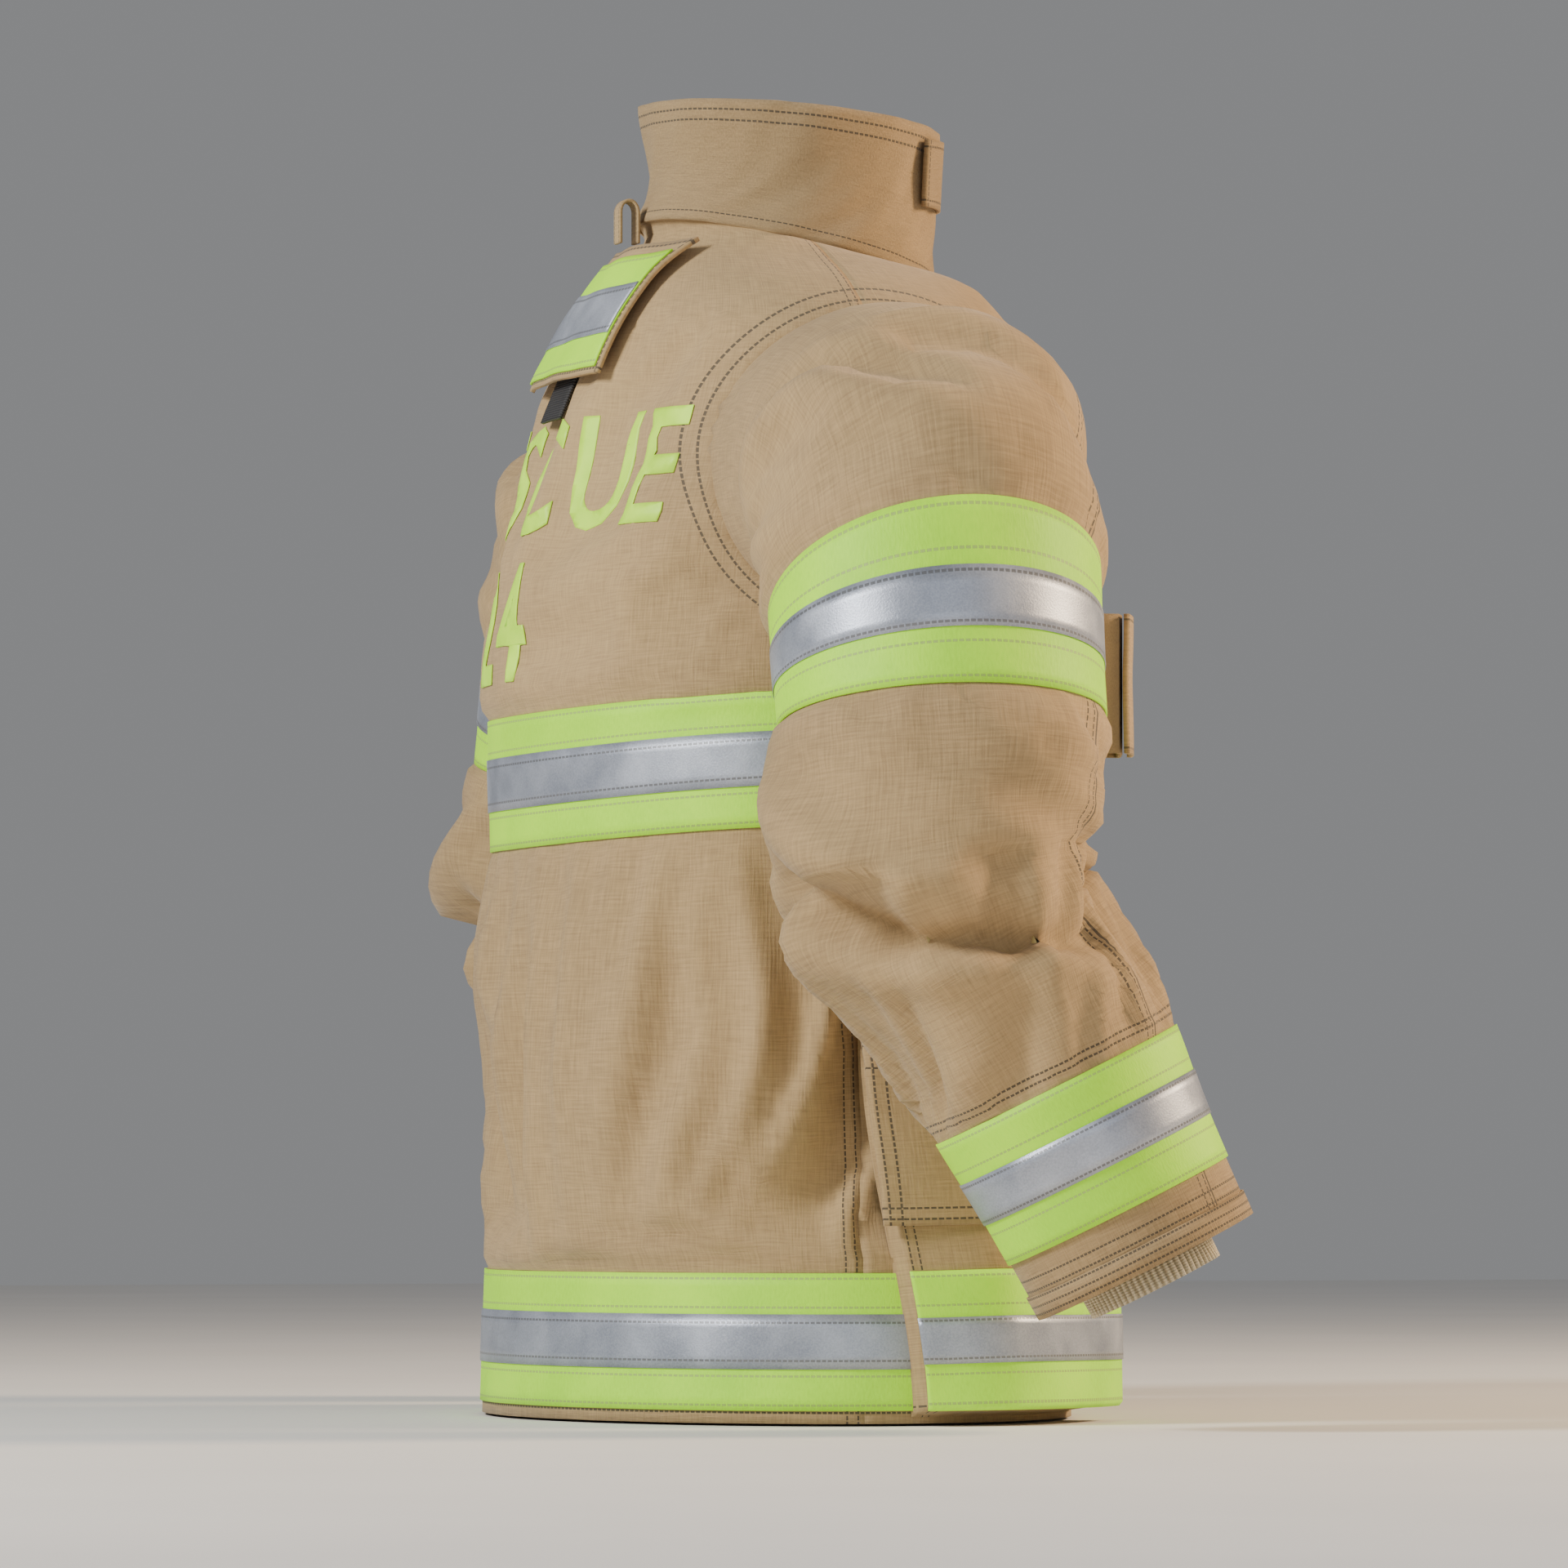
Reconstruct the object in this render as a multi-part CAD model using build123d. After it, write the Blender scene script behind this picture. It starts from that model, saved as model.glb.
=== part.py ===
"""Turnout coat: a firefighter's structural coat, shaped as it is when worn, with nobody in it.

Millimetres, +Z up, the front faces -Y and the wearer's right side is at -X.
The origin is where a coat hook bears, inside the top of the hang loop behind the collar.
Every cloth layer is a closed shell of its own; the pieces that swing or slide are separate solids.
"""
from build123d import *
import math
import os

# ---------------------------------------------------------------- cloth thicknesses and clearances
SHELL_T = 2.0          # outer shell cloth
BARRIER_T = 0.8        # moisture barrier film on its carrier cloth
LINER_T = 3.0          # quilted thermal liner
LAYER_GAP = 0.8        # air between two layers
SEAM_GAP = 0.4         # between two pieces sewn edge to edge
TAPE_T = 0.8           # trim tape
SILVER_T = 0.4         # reflective stripe sewn on the tape
LIFT = 0.4             # between a flat piece and what it lies on
MOVING_GAP = 1.5       # between a moving piece and its neighbours

# ---------------------------------------------------------------- trim, 3 inch wide with a silver middle
TRIM_W = 76.0
SILVER_W = 25.0

# ---------------------------------------------------------------- torso
HEM_Z = -695.0
NECK_SIDE_Z = -15.0    # where the shoulder line meets the neck
HEM_HALF_W = 234.0
CHEST_HALF_W = 208.0
HEM_HALF_D = 163.0
CHEST_HALF_D = 162.0
FRONT_Y = -157.0         # the front centre line, which is straight and upright below the chest
NECK_HALF_W = 84.0
NECK_HALF_D = 80.0
SHOULDER_HALF_W = 194.0
FRONT_OPENING = 5.0    # the gap between the two fronts, which the zipper fills
SIDE_SEAM_Y = 22.0     # the back panel reaches round the sides to here

# ---------------------------------------------------------------- neckline and collar
NECK_BACK_Z = -6.0
NECK_FRONT_Z = -46.0
COLLAR_H = 66.0
COLLAR_T = 3.0
COLLAR_LINING_T = 2.5
COLLAR_OPENING = 26.0  # between the collar's two front ends

# ---------------------------------------------------------------- sleeves, worn slightly bent
SHOULDER_Y = 2.0
SHOULDER_Z = -163.0
ARMHOLE_R = 94.0
SLEEVE_HEAD_R = 91.0
SLEEVE_HEAD_X = 184.0
ELBOW = (334.0, 8.0, -392.0)
ELBOW_R = 81.0         # the rounded top of the lower sleeve
UPPER_END_R = 88.0     # the upper sleeve round the elbow
FOREARM_L = 240.0
FOREARM_LEAN = 25.7    # degrees forward of straight down
FOREARM_SPLAY = 6.7    # degrees outward
FOREARM_TOP_R = 74.0
CUFF_R = 62.0
RIM_FRONT = 138.0      # the upper sleeve's rim, in degrees from straight down, forward
RIM_BACK = -58.0
POCKET_FLAP_H = 100.0

# ---------------------------------------------------------------- bands
CHEST_BAND_TOP = -295.0
HEM_BAND_TOP = HEM_Z + 7.0 + TRIM_W
UPPER_BAND_ROW = 5     # the section of the upper sleeve that its band is centred on
CUFF_BAND_FROM_END = 34.0

# ---------------------------------------------------------------- cargo pockets
POCKET_TOP_Z = -487.0
POCKET_BOTTOM_Z = HEM_Z + 3.0
POCKET_DEPTH = 36.0
POCKET_WALL = 2.5
POCKET_FROM_DEG = -3.0  # measured at the torso's middle, from the side towards the front
POCKET_TO_DEG = 45.0
FLAP_T = 3.0
FLAP_OVERHANG_DEG = 1.6

# ---------------------------------------------------------------- storm flap and zipper
FLAP_HINGE_X = 62.0
FLAP_EDGE_X = -34.0
STORM_TOP_Z = -64.0
STORM_BOTTOM_Z = HEM_Z + 10.0
STORM_LIFT = 7.0
STRIP_W = 30.0
STRIP_T = 1.5
ZIP_TOP_Z = -180.0
ZIP_BOTTOM_Z = HEM_Z + 14.0
ZIP_TAPE_W = 16.0
TOOTH_PITCH = 6.0
SLIDER_L = 16.0
SLIDER_W = 12.0
SLIDER_T = 2.0

# ---------------------------------------------------------------- chest pieces
RADIO_X = (92.0, 150.0)
RADIO_TOP_Z = -185.0
RADIO_H = 190.0
RADIO_DEPTH = 42.0
RADIO_FLAP_H = 62.0
RADIO_HINGE_OUT = 4.8    # from the coat to the lid of the radio pocket's flap
LIGHT_X = (-116.0, -58.0)
LIGHT_TOP_Z = -236.0
LIGHT_H = 80.0
LIGHT_DEPTH = 36.0
STRAP_T = 3.0
HOOK_TAB_TOP_Z = -150.0
HOOK_TAB_L = 34.0
WEBBING_W = 25.0
HOOK_W = 18.0
HOOK_L = 44.0
HOOK_ROD = 3.6
HOOK_OUT = 15.0          # from the coat, over the webbing's fold, to the hook's back
GATE_L = 18.0
PULL_L = 22.0
PULL_W = 6.4
PULL_T = 1.2
TAB_W = 26.0
TAB_L = 70.0
MIC_TAB_TOP_Z = -118.0

# ---------------------------------------------------------------- back pieces
DRAG_FLAP_HALF_W = 68.0
DRAG_FLAP_TOP_Z = -30.0
DRAG_FLAP_BOTTOM_Z = -104.0
DRAG_FLAP_LIFT = 6.5
DRAG_STRAP_HALF_W = 20.0
DRAG_STRAP_BOTTOM_Z = -124.0
LOOP_Y = NECK_HALF_D + 15   # where the loop's bearing point is, from the middle of the neck
LOOP_Z = 4.0
LOOP_W = 12.0
LOOP_T = 2.5
LOOP_H = 26.0
LOOP_D = 14.0

# ---------------------------------------------------------------- throat tab
THROAT_TAB_L = 120.0
THROAT_TAB_H = 40.0
THROAT_TAB_T = 3.0
THROAT_TAB_Z = 2.0

BIG = 2000.0


# ================================================================ shapes that several pieces share
def torso_profile():
    """(height, half width, half depth, centre y) from the neck down."""
    front = FRONT_Y
    return [
        (6.0, NECK_HALF_W - 5, NECK_HALF_D - 5, 0.0),
        (NECK_SIDE_Z, NECK_HALF_W, NECK_HALF_D, 0.0),
        (-30.0, NECK_HALF_W + 22, NECK_HALF_D + 12, -1.0),
        (-52.0, SHOULDER_HALF_W - 36, CHEST_HALF_D - 54, -2.0),
        (-76.0, SHOULDER_HALF_W, CHEST_HALF_D - 40, -3.0),
        (-110.0, CHEST_HALF_W - 4, CHEST_HALF_D - 25, -3.0),
        (-160.0, CHEST_HALF_W - 2, CHEST_HALF_D - 10, -3.0),
        (-206.0, CHEST_HALF_W - 1, CHEST_HALF_D - 3, CHEST_HALF_D - 3 + front),
        (-270.0, CHEST_HALF_W, CHEST_HALF_D, CHEST_HALF_D + front),
        (-380.0, CHEST_HALF_W + 4, CHEST_HALF_D - 1, CHEST_HALF_D - 1 + front),
        (-530.0, HEM_HALF_W - 13, HEM_HALF_D - 2, HEM_HALF_D - 2 + front),
        (HEM_Z, HEM_HALF_W, HEM_HALF_D, HEM_HALF_D + front),
    ]


def torso_solid(grow):
    """The torso's outer surface moved outwards by grow, as a solid. The ends stay level."""
    rows = torso_profile()
    sections = []
    for i, (z, half_w, half_d, y) in enumerate(rows):
        above = rows[max(i - 1, 0)]
        below = rows[min(i + 1, len(rows) - 1)]
        run = ((below[1] + below[2]) - (above[1] + above[2])) / 2
        drop = above[0] - below[0]
        slope = math.atan2(run, drop)
        last = i in (0, len(rows) - 1)
        out = grow * math.cos(slope)
        up = 0.0 if last else grow * math.sin(slope)
        sections.append(Pos(0, y, z + up) * Ellipse(half_w + out, half_d + out))
    return loft([s.face() for s in sections], ruled=True)


_torso_cache = {}


def torso(grow):
    if grow not in _torso_cache:
        _torso_cache[grow] = torso_solid(grow)
    return _torso_cache[grow]


def hollow(outer, inner):
    """The closed shell between two nested lofts, which end in the same planes."""
    sides = [f for body in (outer, inner) for f in body.faces() if f.geom_type != GeomType.PLANE]
    caps = []
    for cap in outer.faces().filter_by(GeomType.PLANE):
        inner_cap = min(
            inner.faces().filter_by(GeomType.PLANE), key=lambda f: (f.center() - cap.center()).length
        )
        caps.append(Face(cap.outer_wire(), [inner_cap.outer_wire()]))
    return Solid(Shell(sides + caps))


_layer_cache = {}


def layer(inner, outer):
    """The closed shell between two offsets of the torso's surface."""
    key = (round(inner, 4), round(outer, 4))
    if key not in _layer_cache:
        _layer_cache[key] = hollow(torso(outer), torso(inner))
    return _layer_cache[key]


def block(x, y, z):
    """A box from three (low, high) pairs."""
    size = [hi - lo for lo, hi in (x, y, z)]
    mid = [(hi + lo) / 2 for lo, hi in (x, y, z)]
    return Pos(*mid) * Box(*size)


def neck_plane(lift=0.0):
    """The plane of the neckline, which drops towards the front; lift moves it up."""
    run = NECK_HALF_D * 2 + 14
    lean = math.degrees(math.atan2(NECK_BACK_Z - NECK_FRONT_Z, run))
    mid_z = (NECK_BACK_Z + NECK_FRONT_Z) / 2 + lift
    return Pos(0, -5, mid_z) * Rot(lean, 0, 0)


def above_neck(lift=0.0):
    return neck_plane(lift) * Pos(0, 0, BIG / 2) * Box(BIG, BIG, BIG)


def armholes(radius):
    """Cylinders that cut both armholes."""
    side = Pos(SLEEVE_HEAD_X, SHOULDER_Y, SHOULDER_Z) * Rot(0, 90, 0)
    cutter = side * Cylinder(radius, 160)
    return cutter + cutter.mirror(Plane.YZ)


def wedge(from_deg, to_deg, side, z):
    """A vertical wedge from the torso's middle, in degrees from the side (0) towards the front (90)."""
    reach = 600.0
    centre = (0.0, 3.0)
    corners = [centre]
    for step in range(5):
        a = math.radians(from_deg + (to_deg - from_deg) * step / 4)
        corners.append((side * reach * math.cos(a), centre[1] - reach * math.sin(a)))
    outline = Polyline(*corners, close=True)
    return Pos(0, 0, z[0]) * extrude(make_face(outline), z[1] - z[0])


def write(name, shape):
    """Moves a piece so that the origin is at the hang loop, and writes its file."""
    solids = (Pos(0, -LOOP_Y, -LOOP_Z) * Compound(children=list(shape.solids()))).solids()
    export_step(Compound(children=list(solids)), f"parts/{name}.step")
    print(f"{name:24s} {len(solids)} solids, {sum(s.volume for s in solids):10.0f} mm3")


# ================================================================ body shell, three panels and two linings
def body_panels():
    shell = layer(-SHELL_T, 0.0) - above_neck() - armholes(ARMHOLE_R)
    back = shell & block((-BIG, BIG), (SIDE_SEAM_Y, BIG), (-BIG, BIG))
    front = shell & block((-BIG, BIG), (-BIG, SIDE_SEAM_Y - SEAM_GAP), (-BIG, BIG))
    half = FRONT_OPENING / 2
    right = front & block((-BIG, -half), (-BIG, BIG), (-BIG, BIG))
    left = front & block((half, BIG), (-BIG, BIG), (-BIG, BIG))
    return back, right, left


def lining(outer, thickness, hem_rise):
    """One inner layer: open at the front, the neck, the armholes and the hem."""
    shell = layer(outer - thickness, outer) - above_neck(-4) - armholes(ARMHOLE_R)
    shell -= block((-ZIP_TAPE_W - 6, ZIP_TAPE_W + 6), (-BIG, 0), (-BIG, BIG))
    return shell & block((-BIG, BIG), (-BIG, BIG), (HEM_Z + hem_rise, BIG))


# ================================================================ collar
def collar_ring(outer_grow, thickness):
    """An upright band round the neck."""
    low = neck_plane(1.0)
    high = Pos(0, -3, NECK_FRONT_Z + 40 + COLLAR_H - 6) * Rot(5, 0, 0)

    def band(grow):
        base = low * Ellipse(NECK_HALF_W + 6 + grow, NECK_HALF_D + 8 + grow)
        middle = Pos(0, -4, 8) * Rot(9, 0, 0) * Ellipse(NECK_HALF_W + grow, NECK_HALF_D + 3 + grow)
        top = high * Ellipse(NECK_HALF_W + 4 + grow, NECK_HALF_D + 6 + grow)
        return loft([base.face(), middle.face(), top.face()], ruled=True)

    return band(outer_grow) - band(outer_grow - thickness)


def collar(outer_grow, thickness):
    """The upright band, open in front."""
    gap = COLLAR_OPENING / 2
    return collar_ring(outer_grow, thickness) - block((-gap, gap), (-BIG, 0), (-BIG, BIG))


def throat_tab():
    """A curved tab across the collar's front ends, hinged at its left end."""
    half = THROAT_TAB_L / 2
    zone = block((-half, half), (-BIG, -20), (THROAT_TAB_Z, THROAT_TAB_Z + THROAT_TAB_H))
    return collar_ring(MOVING_GAP + THROAT_TAB_T, THROAT_TAB_T) & zone


def hang_loop():
    """A sewn webbing loop; a hook bears inside its top, at the origin."""
    outer = RectangleRounded(LOOP_D, LOOP_H, LOOP_D / 2 - 0.5)
    inner = RectangleRounded(LOOP_D - 2 * LOOP_T, LOOP_H - 2 * LOOP_T, LOOP_D / 2 - 0.5 - LOOP_T)
    ring = extrude(outer - inner, LOOP_W / 2, both=True)
    return Pos(0, LOOP_Y, LOOP_Z + LOOP_T - LOOP_H / 2) * Rot(0, 0, 90) * Rot(90, 0, 0) * ring


# ================================================================ trim
def tape_band(grow, top_z, area):
    """A tape and its silver stripe round the torso at one height, clipped to an area."""
    tape = layer(grow, grow + TAPE_T) & block((-BIG, BIG), (-BIG, BIG), (top_z - TRIM_W, top_z))
    middle = top_z - TRIM_W / 2
    stripe_z = (middle - SILVER_W / 2, middle + SILVER_W / 2)
    low = grow + TAPE_T + SEAM_GAP / 2
    stripe = layer(low, low + SILVER_T) & block((-BIG, BIG), (-BIG, BIG), stripe_z)
    return tape & area, stripe & area


def chest_trim():
    """Round the chest, open at the storm flap."""
    area = block((-BIG, BIG), (-BIG, BIG), (-BIG, BIG))
    area -= block((FLAP_EDGE_X - 4, FLAP_HINGE_X + 8), (-BIG, 0), (-BIG, BIG))
    area -= block((LIGHT_X[0] - 2, LIGHT_X[1] + 2), (-BIG, 0), (CHEST_BAND_TOP - 25, BIG))
    area -= block((RADIO_X[0] - 2, RADIO_X[1] + 2), (-BIG, 0), (-BIG, BIG))
    return tape_band(LIFT, CHEST_BAND_TOP, area)


def hem_trim():
    """Round the back and sides as far as the pockets, and between each pocket and the closure."""
    area = block((-BIG, BIG), (-BIG, BIG), (-BIG, BIG))
    for side in (-1, 1):
        area -= wedge(POCKET_FROM_DEG - 2, POCKET_TO_DEG + 2, side, (-BIG, BIG))
    area -= block((FLAP_EDGE_X - 4, FLAP_HINGE_X + 8), (-BIG, 0), (-BIG, BIG))
    tape, stripe = tape_band(LIFT, HEM_BAND_TOP, area)
    for side in (-1, 1):
        face = wedge(POCKET_FROM_DEG, POCKET_TO_DEG, side, (-BIG, BIG))
        low, high = tape_band(POCKET_DEPTH + LIFT, HEM_BAND_TOP, face)
        tape += low
        stripe += high
    return tape, stripe


# ================================================================ cargo pockets
def cargo_pocket(side):
    """A box pocket on the torso, open at its top."""
    outside = (POCKET_FROM_DEG, POCKET_TO_DEG)
    wall_deg = math.degrees(POCKET_WALL / HEM_HALF_W)
    body = layer(LIFT, POCKET_DEPTH) & wedge(*outside, side, (POCKET_BOTTOM_Z, POCKET_TOP_Z))
    inside = layer(LIFT + POCKET_WALL, POCKET_DEPTH - POCKET_WALL)
    inside &= wedge(
        outside[0] + wall_deg, outside[1] - wall_deg, side,
        (POCKET_BOTTOM_Z + POCKET_WALL, POCKET_TOP_Z + 10),
    )
    return body - inside


def torso_at(z):
    """(half width, half depth, centre y) of the torso at one height."""
    rows = torso_profile()
    for above, below in zip(rows, rows[1:]):
        if z >= below[0]:
            share = (above[0] - z) / (above[0] - below[0])
            return [a + (b - a) * share for a, b in zip(above[1:], below[1:])]


def pocket_hinge(side):
    """A pocket flap's hinge line, level and just clear of the torso: a point on it and the way out."""
    half_w, half_d, mid = torso_at(POCKET_TOP_Z)
    ends = []
    for deg in (POCKET_FROM_DEG, POCKET_TO_DEG):
        a = math.radians(deg)
        reach = 1 / math.hypot(math.cos(a) / half_w, math.sin(a) / half_d)
        ends.append(Vector(side * reach * math.cos(a), -reach * math.sin(a), 0))
    along = (ends[0] - ends[1]).normalized()
    out = Vector(along.Y, -along.X, 0)
    if out.X * side < 0:
        out = out * -1
    middle = (ends[0] + ends[1]) / 2
    far = math.hypot(half_w * out.X, half_d * out.Y) + LIFT + MOVING_GAP
    point = middle + out * (far - middle.dot(out))
    return Vector(point.X, point.Y + mid, POCKET_TOP_Z + MOVING_GAP + FLAP_T / 2), out


def cargo_flap(side):
    """The flap over the pocket: a lid on top, in front of its hinge, and a skirt before the pocket."""
    area = (POCKET_FROM_DEG - FLAP_OVERHANG_DEG, POCKET_TO_DEG + FLAP_OVERHANG_DEG)
    lid_z = (POCKET_TOP_Z + MOVING_GAP, POCKET_TOP_Z + MOVING_GAP + FLAP_T)
    lid = layer(LIFT, POCKET_DEPTH + MOVING_GAP + FLAP_T) & wedge(*area, side, lid_z)
    point, out = pocket_hinge(side)
    before = Plane(origin=point, x_dir=Vector(0, 0, 1), z_dir=out) * Pos(0, 0, BIG / 2) * Box(BIG, BIG, BIG)
    skirt_z = (POCKET_TOP_Z - POCKET_FLAP_H, lid_z[1])
    skirt = layer(POCKET_DEPTH + MOVING_GAP, POCKET_DEPTH + MOVING_GAP + FLAP_T)
    return (lid & before) + (skirt & wedge(*area, side, skirt_z))


# ================================================================ closure
def storm_flap():
    """A long flap over the zipper, sewn to the left front and closing over the right one."""
    zone = block((FLAP_EDGE_X, FLAP_HINGE_X), (-BIG, 0), (STORM_BOTTOM_Z, STORM_TOP_Z))
    flap = layer(STORM_LIFT, STORM_LIFT + FLAP_T) & zone
    strip_zone = block(
        (FLAP_EDGE_X + 4, FLAP_EDGE_X + 4 + STRIP_W - 8), (-BIG, 0),
        (STORM_BOTTOM_Z + 12, STORM_TOP_Z - 110),
    )
    hook = layer(STORM_LIFT - STRIP_T - LIFT, STORM_LIFT - LIFT) & strip_zone
    loop = layer(LIFT, LIFT + STRIP_T) & strip_zone
    tapes, stripes = [], []
    for top in (CHEST_BAND_TOP, HEM_BAND_TOP):
        tape, stripe = tape_band(STORM_LIFT + FLAP_T + LIFT, top, zone)
        tapes.append(tape)
        stripes.append(stripe)
    return flap, hook, loop, tapes[0] + tapes[1], stripes[0] + stripes[1]


def zipper():
    """Two tapes inside the fronts, and their teeth in the opening between."""
    y = FRONT_Y + SHELL_T + LIFT
    z = (ZIP_BOTTOM_Z, ZIP_TOP_Z)
    tape_y = (y + 1.4, y + 2.6)
    tapes = block((0.2, ZIP_TAPE_W), tape_y, z) + block((-ZIP_TAPE_W, -0.2), tape_y, z)
    teeth = []
    count = int((ZIP_TOP_Z - ZIP_BOTTOM_Z - 6) / TOOTH_PITCH)
    for i in range(count):
        side = 1 if i % 2 else -1
        at = ZIP_BOTTOM_Z + 5 + i * TOOTH_PITCH
        teeth.append(Pos(side * 0.6, y - 0.1, at) * Box(2.6, 2.8, TOOTH_PITCH * 0.6))
    return tapes, teeth


def slider():
    """The slider rides in front of the teeth; its pull hangs from a bridge on it."""
    y = FRONT_Y - 1.2
    z = (ZIP_TOP_Z - SLIDER_L - 4, ZIP_TOP_Z - 4)
    plate = block((-SLIDER_W / 2, SLIDER_W / 2), (y - SLIDER_T, y), z)
    plate = fillet(plate.edges().filter_by(Axis.Y), 3)
    bridge = block((-1.5, 1.5), (y - SLIDER_T - 1.6, y - SLIDER_T + 0.2), (z[0] + 5, z[0] + 11))
    hole = Pos(0, y - SLIDER_T, z[0] + 8) * Rot(0, 90, 0) * Cylinder(0.9, 10)
    return plate + bridge - hole


def pull():
    """A flat pull hanging from the slider's bridge: a fork, its rod and a plate."""
    y = FRONT_Y - 1.2 - SLIDER_T
    top = ZIP_TOP_Z - SLIDER_L - 4 + 8
    rod = Pos(0, y, top) * Rot(0, 90, 0) * Cylinder(0.85, PULL_W)
    arms = block((1.8, PULL_W / 2), (y - PULL_T, y - 0.3), (top - 6, top + 0.8))
    arms += arms.mirror(Plane.YZ)
    plate = block((-PULL_W / 2, PULL_W / 2), (y - PULL_T, y - 0.3), (top - PULL_L, top - 6))
    return rod + arms + plate


# ================================================================ chest pieces
def radio_pocket():
    z = (RADIO_TOP_Z - RADIO_H, RADIO_TOP_Z)
    zone = block(RADIO_X, (-BIG, 0), z)
    body = layer(LIFT, RADIO_DEPTH) & zone
    hollow = layer(LIFT + POCKET_WALL, RADIO_DEPTH - POCKET_WALL)
    hollow &= block(
        (RADIO_X[0] + POCKET_WALL, RADIO_X[1] - POCKET_WALL), (-BIG, 0),
        (z[0] + POCKET_WALL, z[1] + 10),
    )
    return body - hollow


def radio_flap():
    over = (RADIO_X[0] - 2, RADIO_X[1] + 2)
    lid_z = (RADIO_TOP_Z + MOVING_GAP, RADIO_TOP_Z + MOVING_GAP + FLAP_T)
    lid = layer(RADIO_HINGE_OUT, RADIO_DEPTH + MOVING_GAP + FLAP_T) & block(over, (-BIG, 0), lid_z)
    skirt = layer(RADIO_DEPTH + MOVING_GAP, RADIO_DEPTH + MOVING_GAP + FLAP_T)
    return lid + (skirt & block(over, (-BIG, 0), (RADIO_TOP_Z - RADIO_FLAP_H, lid_z[1])))


def light_strap():
    """A wide strap closed into an upright loop that holds a flashlight, and its hook tape."""
    z = (LIGHT_TOP_Z - LIGHT_H, LIGHT_TOP_Z)
    body = layer(LIFT + TAPE_T + 1, LIGHT_DEPTH) & block(LIGHT_X, (-BIG, 0), z)
    hollow = layer(LIFT + TAPE_T + 1 + STRAP_T, LIGHT_DEPTH - STRAP_T)
    hollow &= block((LIGHT_X[0] + STRAP_T, LIGHT_X[1] - STRAP_T), (-BIG, 0), (-BIG, BIG))
    cover_x = (LIGHT_X[0] - 3, LIGHT_X[1] - 8)
    tape_x = (LIGHT_X[0] + 1, LIGHT_X[1] - 12)
    low = LIGHT_DEPTH + LIFT
    tape = layer(low, low + STRIP_T) & block(tape_x, (-BIG, 0), (z[0] + 2, z[1] - 2))
    low += STRIP_T + LIFT
    cover = layer(low, low + STRAP_T) & block(cover_x, (-BIG, 0), z)
    return body - hollow, tape, cover


def front_surface_y(x, half_w, half_d):
    """The y of the torso's front at a distance x from its middle, on one level."""
    return -half_d * math.sqrt(1 - (x / half_w) ** 2) + (half_d + FRONT_Y)


def snap_hook():
    """A flat snap hook hanging under its tab, open at one side, and the gate that closes it."""
    mid = (LIGHT_X[0] + LIGHT_X[1]) / 2
    y = front_surface_y(LIGHT_X[0], CHEST_HALF_W, CHEST_HALF_D) - HOOK_ROD - HOOK_OUT
    top = HOOK_TAB_TOP_Z - HOOK_TAB_L - 1
    ring = RectangleRounded(HOOK_W, HOOK_L, HOOK_W / 2 - 0.1)
    ring -= RectangleRounded(HOOK_W - 2 * HOOK_ROD, HOOK_L - 2 * HOOK_ROD, HOOK_W / 2 - HOOK_ROD - 0.1)
    place = Pos(mid, y, top - HOOK_L / 2) * Rot(90, 0, 0)
    body = place * extrude(ring, HOOK_ROD / 2, both=True)
    side_x = mid + HOOK_W / 2 - HOOK_ROD / 2
    gate_z = (top - HOOK_L / 2 - GATE_L / 2 - 2, top - HOOK_L / 2 + GATE_L / 2 - 2)
    opening = block((side_x - HOOK_ROD, side_x + HOOK_ROD), (y - 9, y + 9), gate_z)
    bar = HOOK_ROD / 2 - 0.4
    gate = block((side_x - bar, side_x + bar), (y - bar, y + bar), (gate_z[0] + 0.6, gate_z[1] - 0.6))
    return body - opening, gate, (side_x, y, gate_z[1] - 0.6), (mid, y, top)


def hook_tab():
    """Folded webbing above the light strap, sewn flat, with a slot for the snap hook's eye."""
    mid = (LIGHT_X[0] + LIGHT_X[1]) / 2
    zone = block(
        (mid - WEBBING_W / 2, mid + WEBBING_W / 2), (-BIG, 0),
        (HOOK_TAB_TOP_Z - HOOK_TAB_L, HOOK_TAB_TOP_Z),
    )
    return layer(LIFT, LIFT + 2.5) & zone


def mic_tab():
    """A tab for a microphone clip, above the radio pocket."""
    mid = (RADIO_X[0] + RADIO_X[1]) / 2
    zone = block((mid - TAB_L / 2, mid + TAB_L / 2), (-BIG, 0), (MIC_TAB_TOP_Z - TAB_W, MIC_TAB_TOP_Z))
    return layer(LIFT, LIFT + 3.0) & zone


# ================================================================ back pieces
def drag_strap():
    zone = block(
        (-DRAG_STRAP_HALF_W, DRAG_STRAP_HALF_W), (0, BIG), (DRAG_STRAP_BOTTOM_Z, DRAG_FLAP_TOP_Z - 6)
    )
    return layer(LIFT, LIFT + 2.5) & zone


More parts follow.
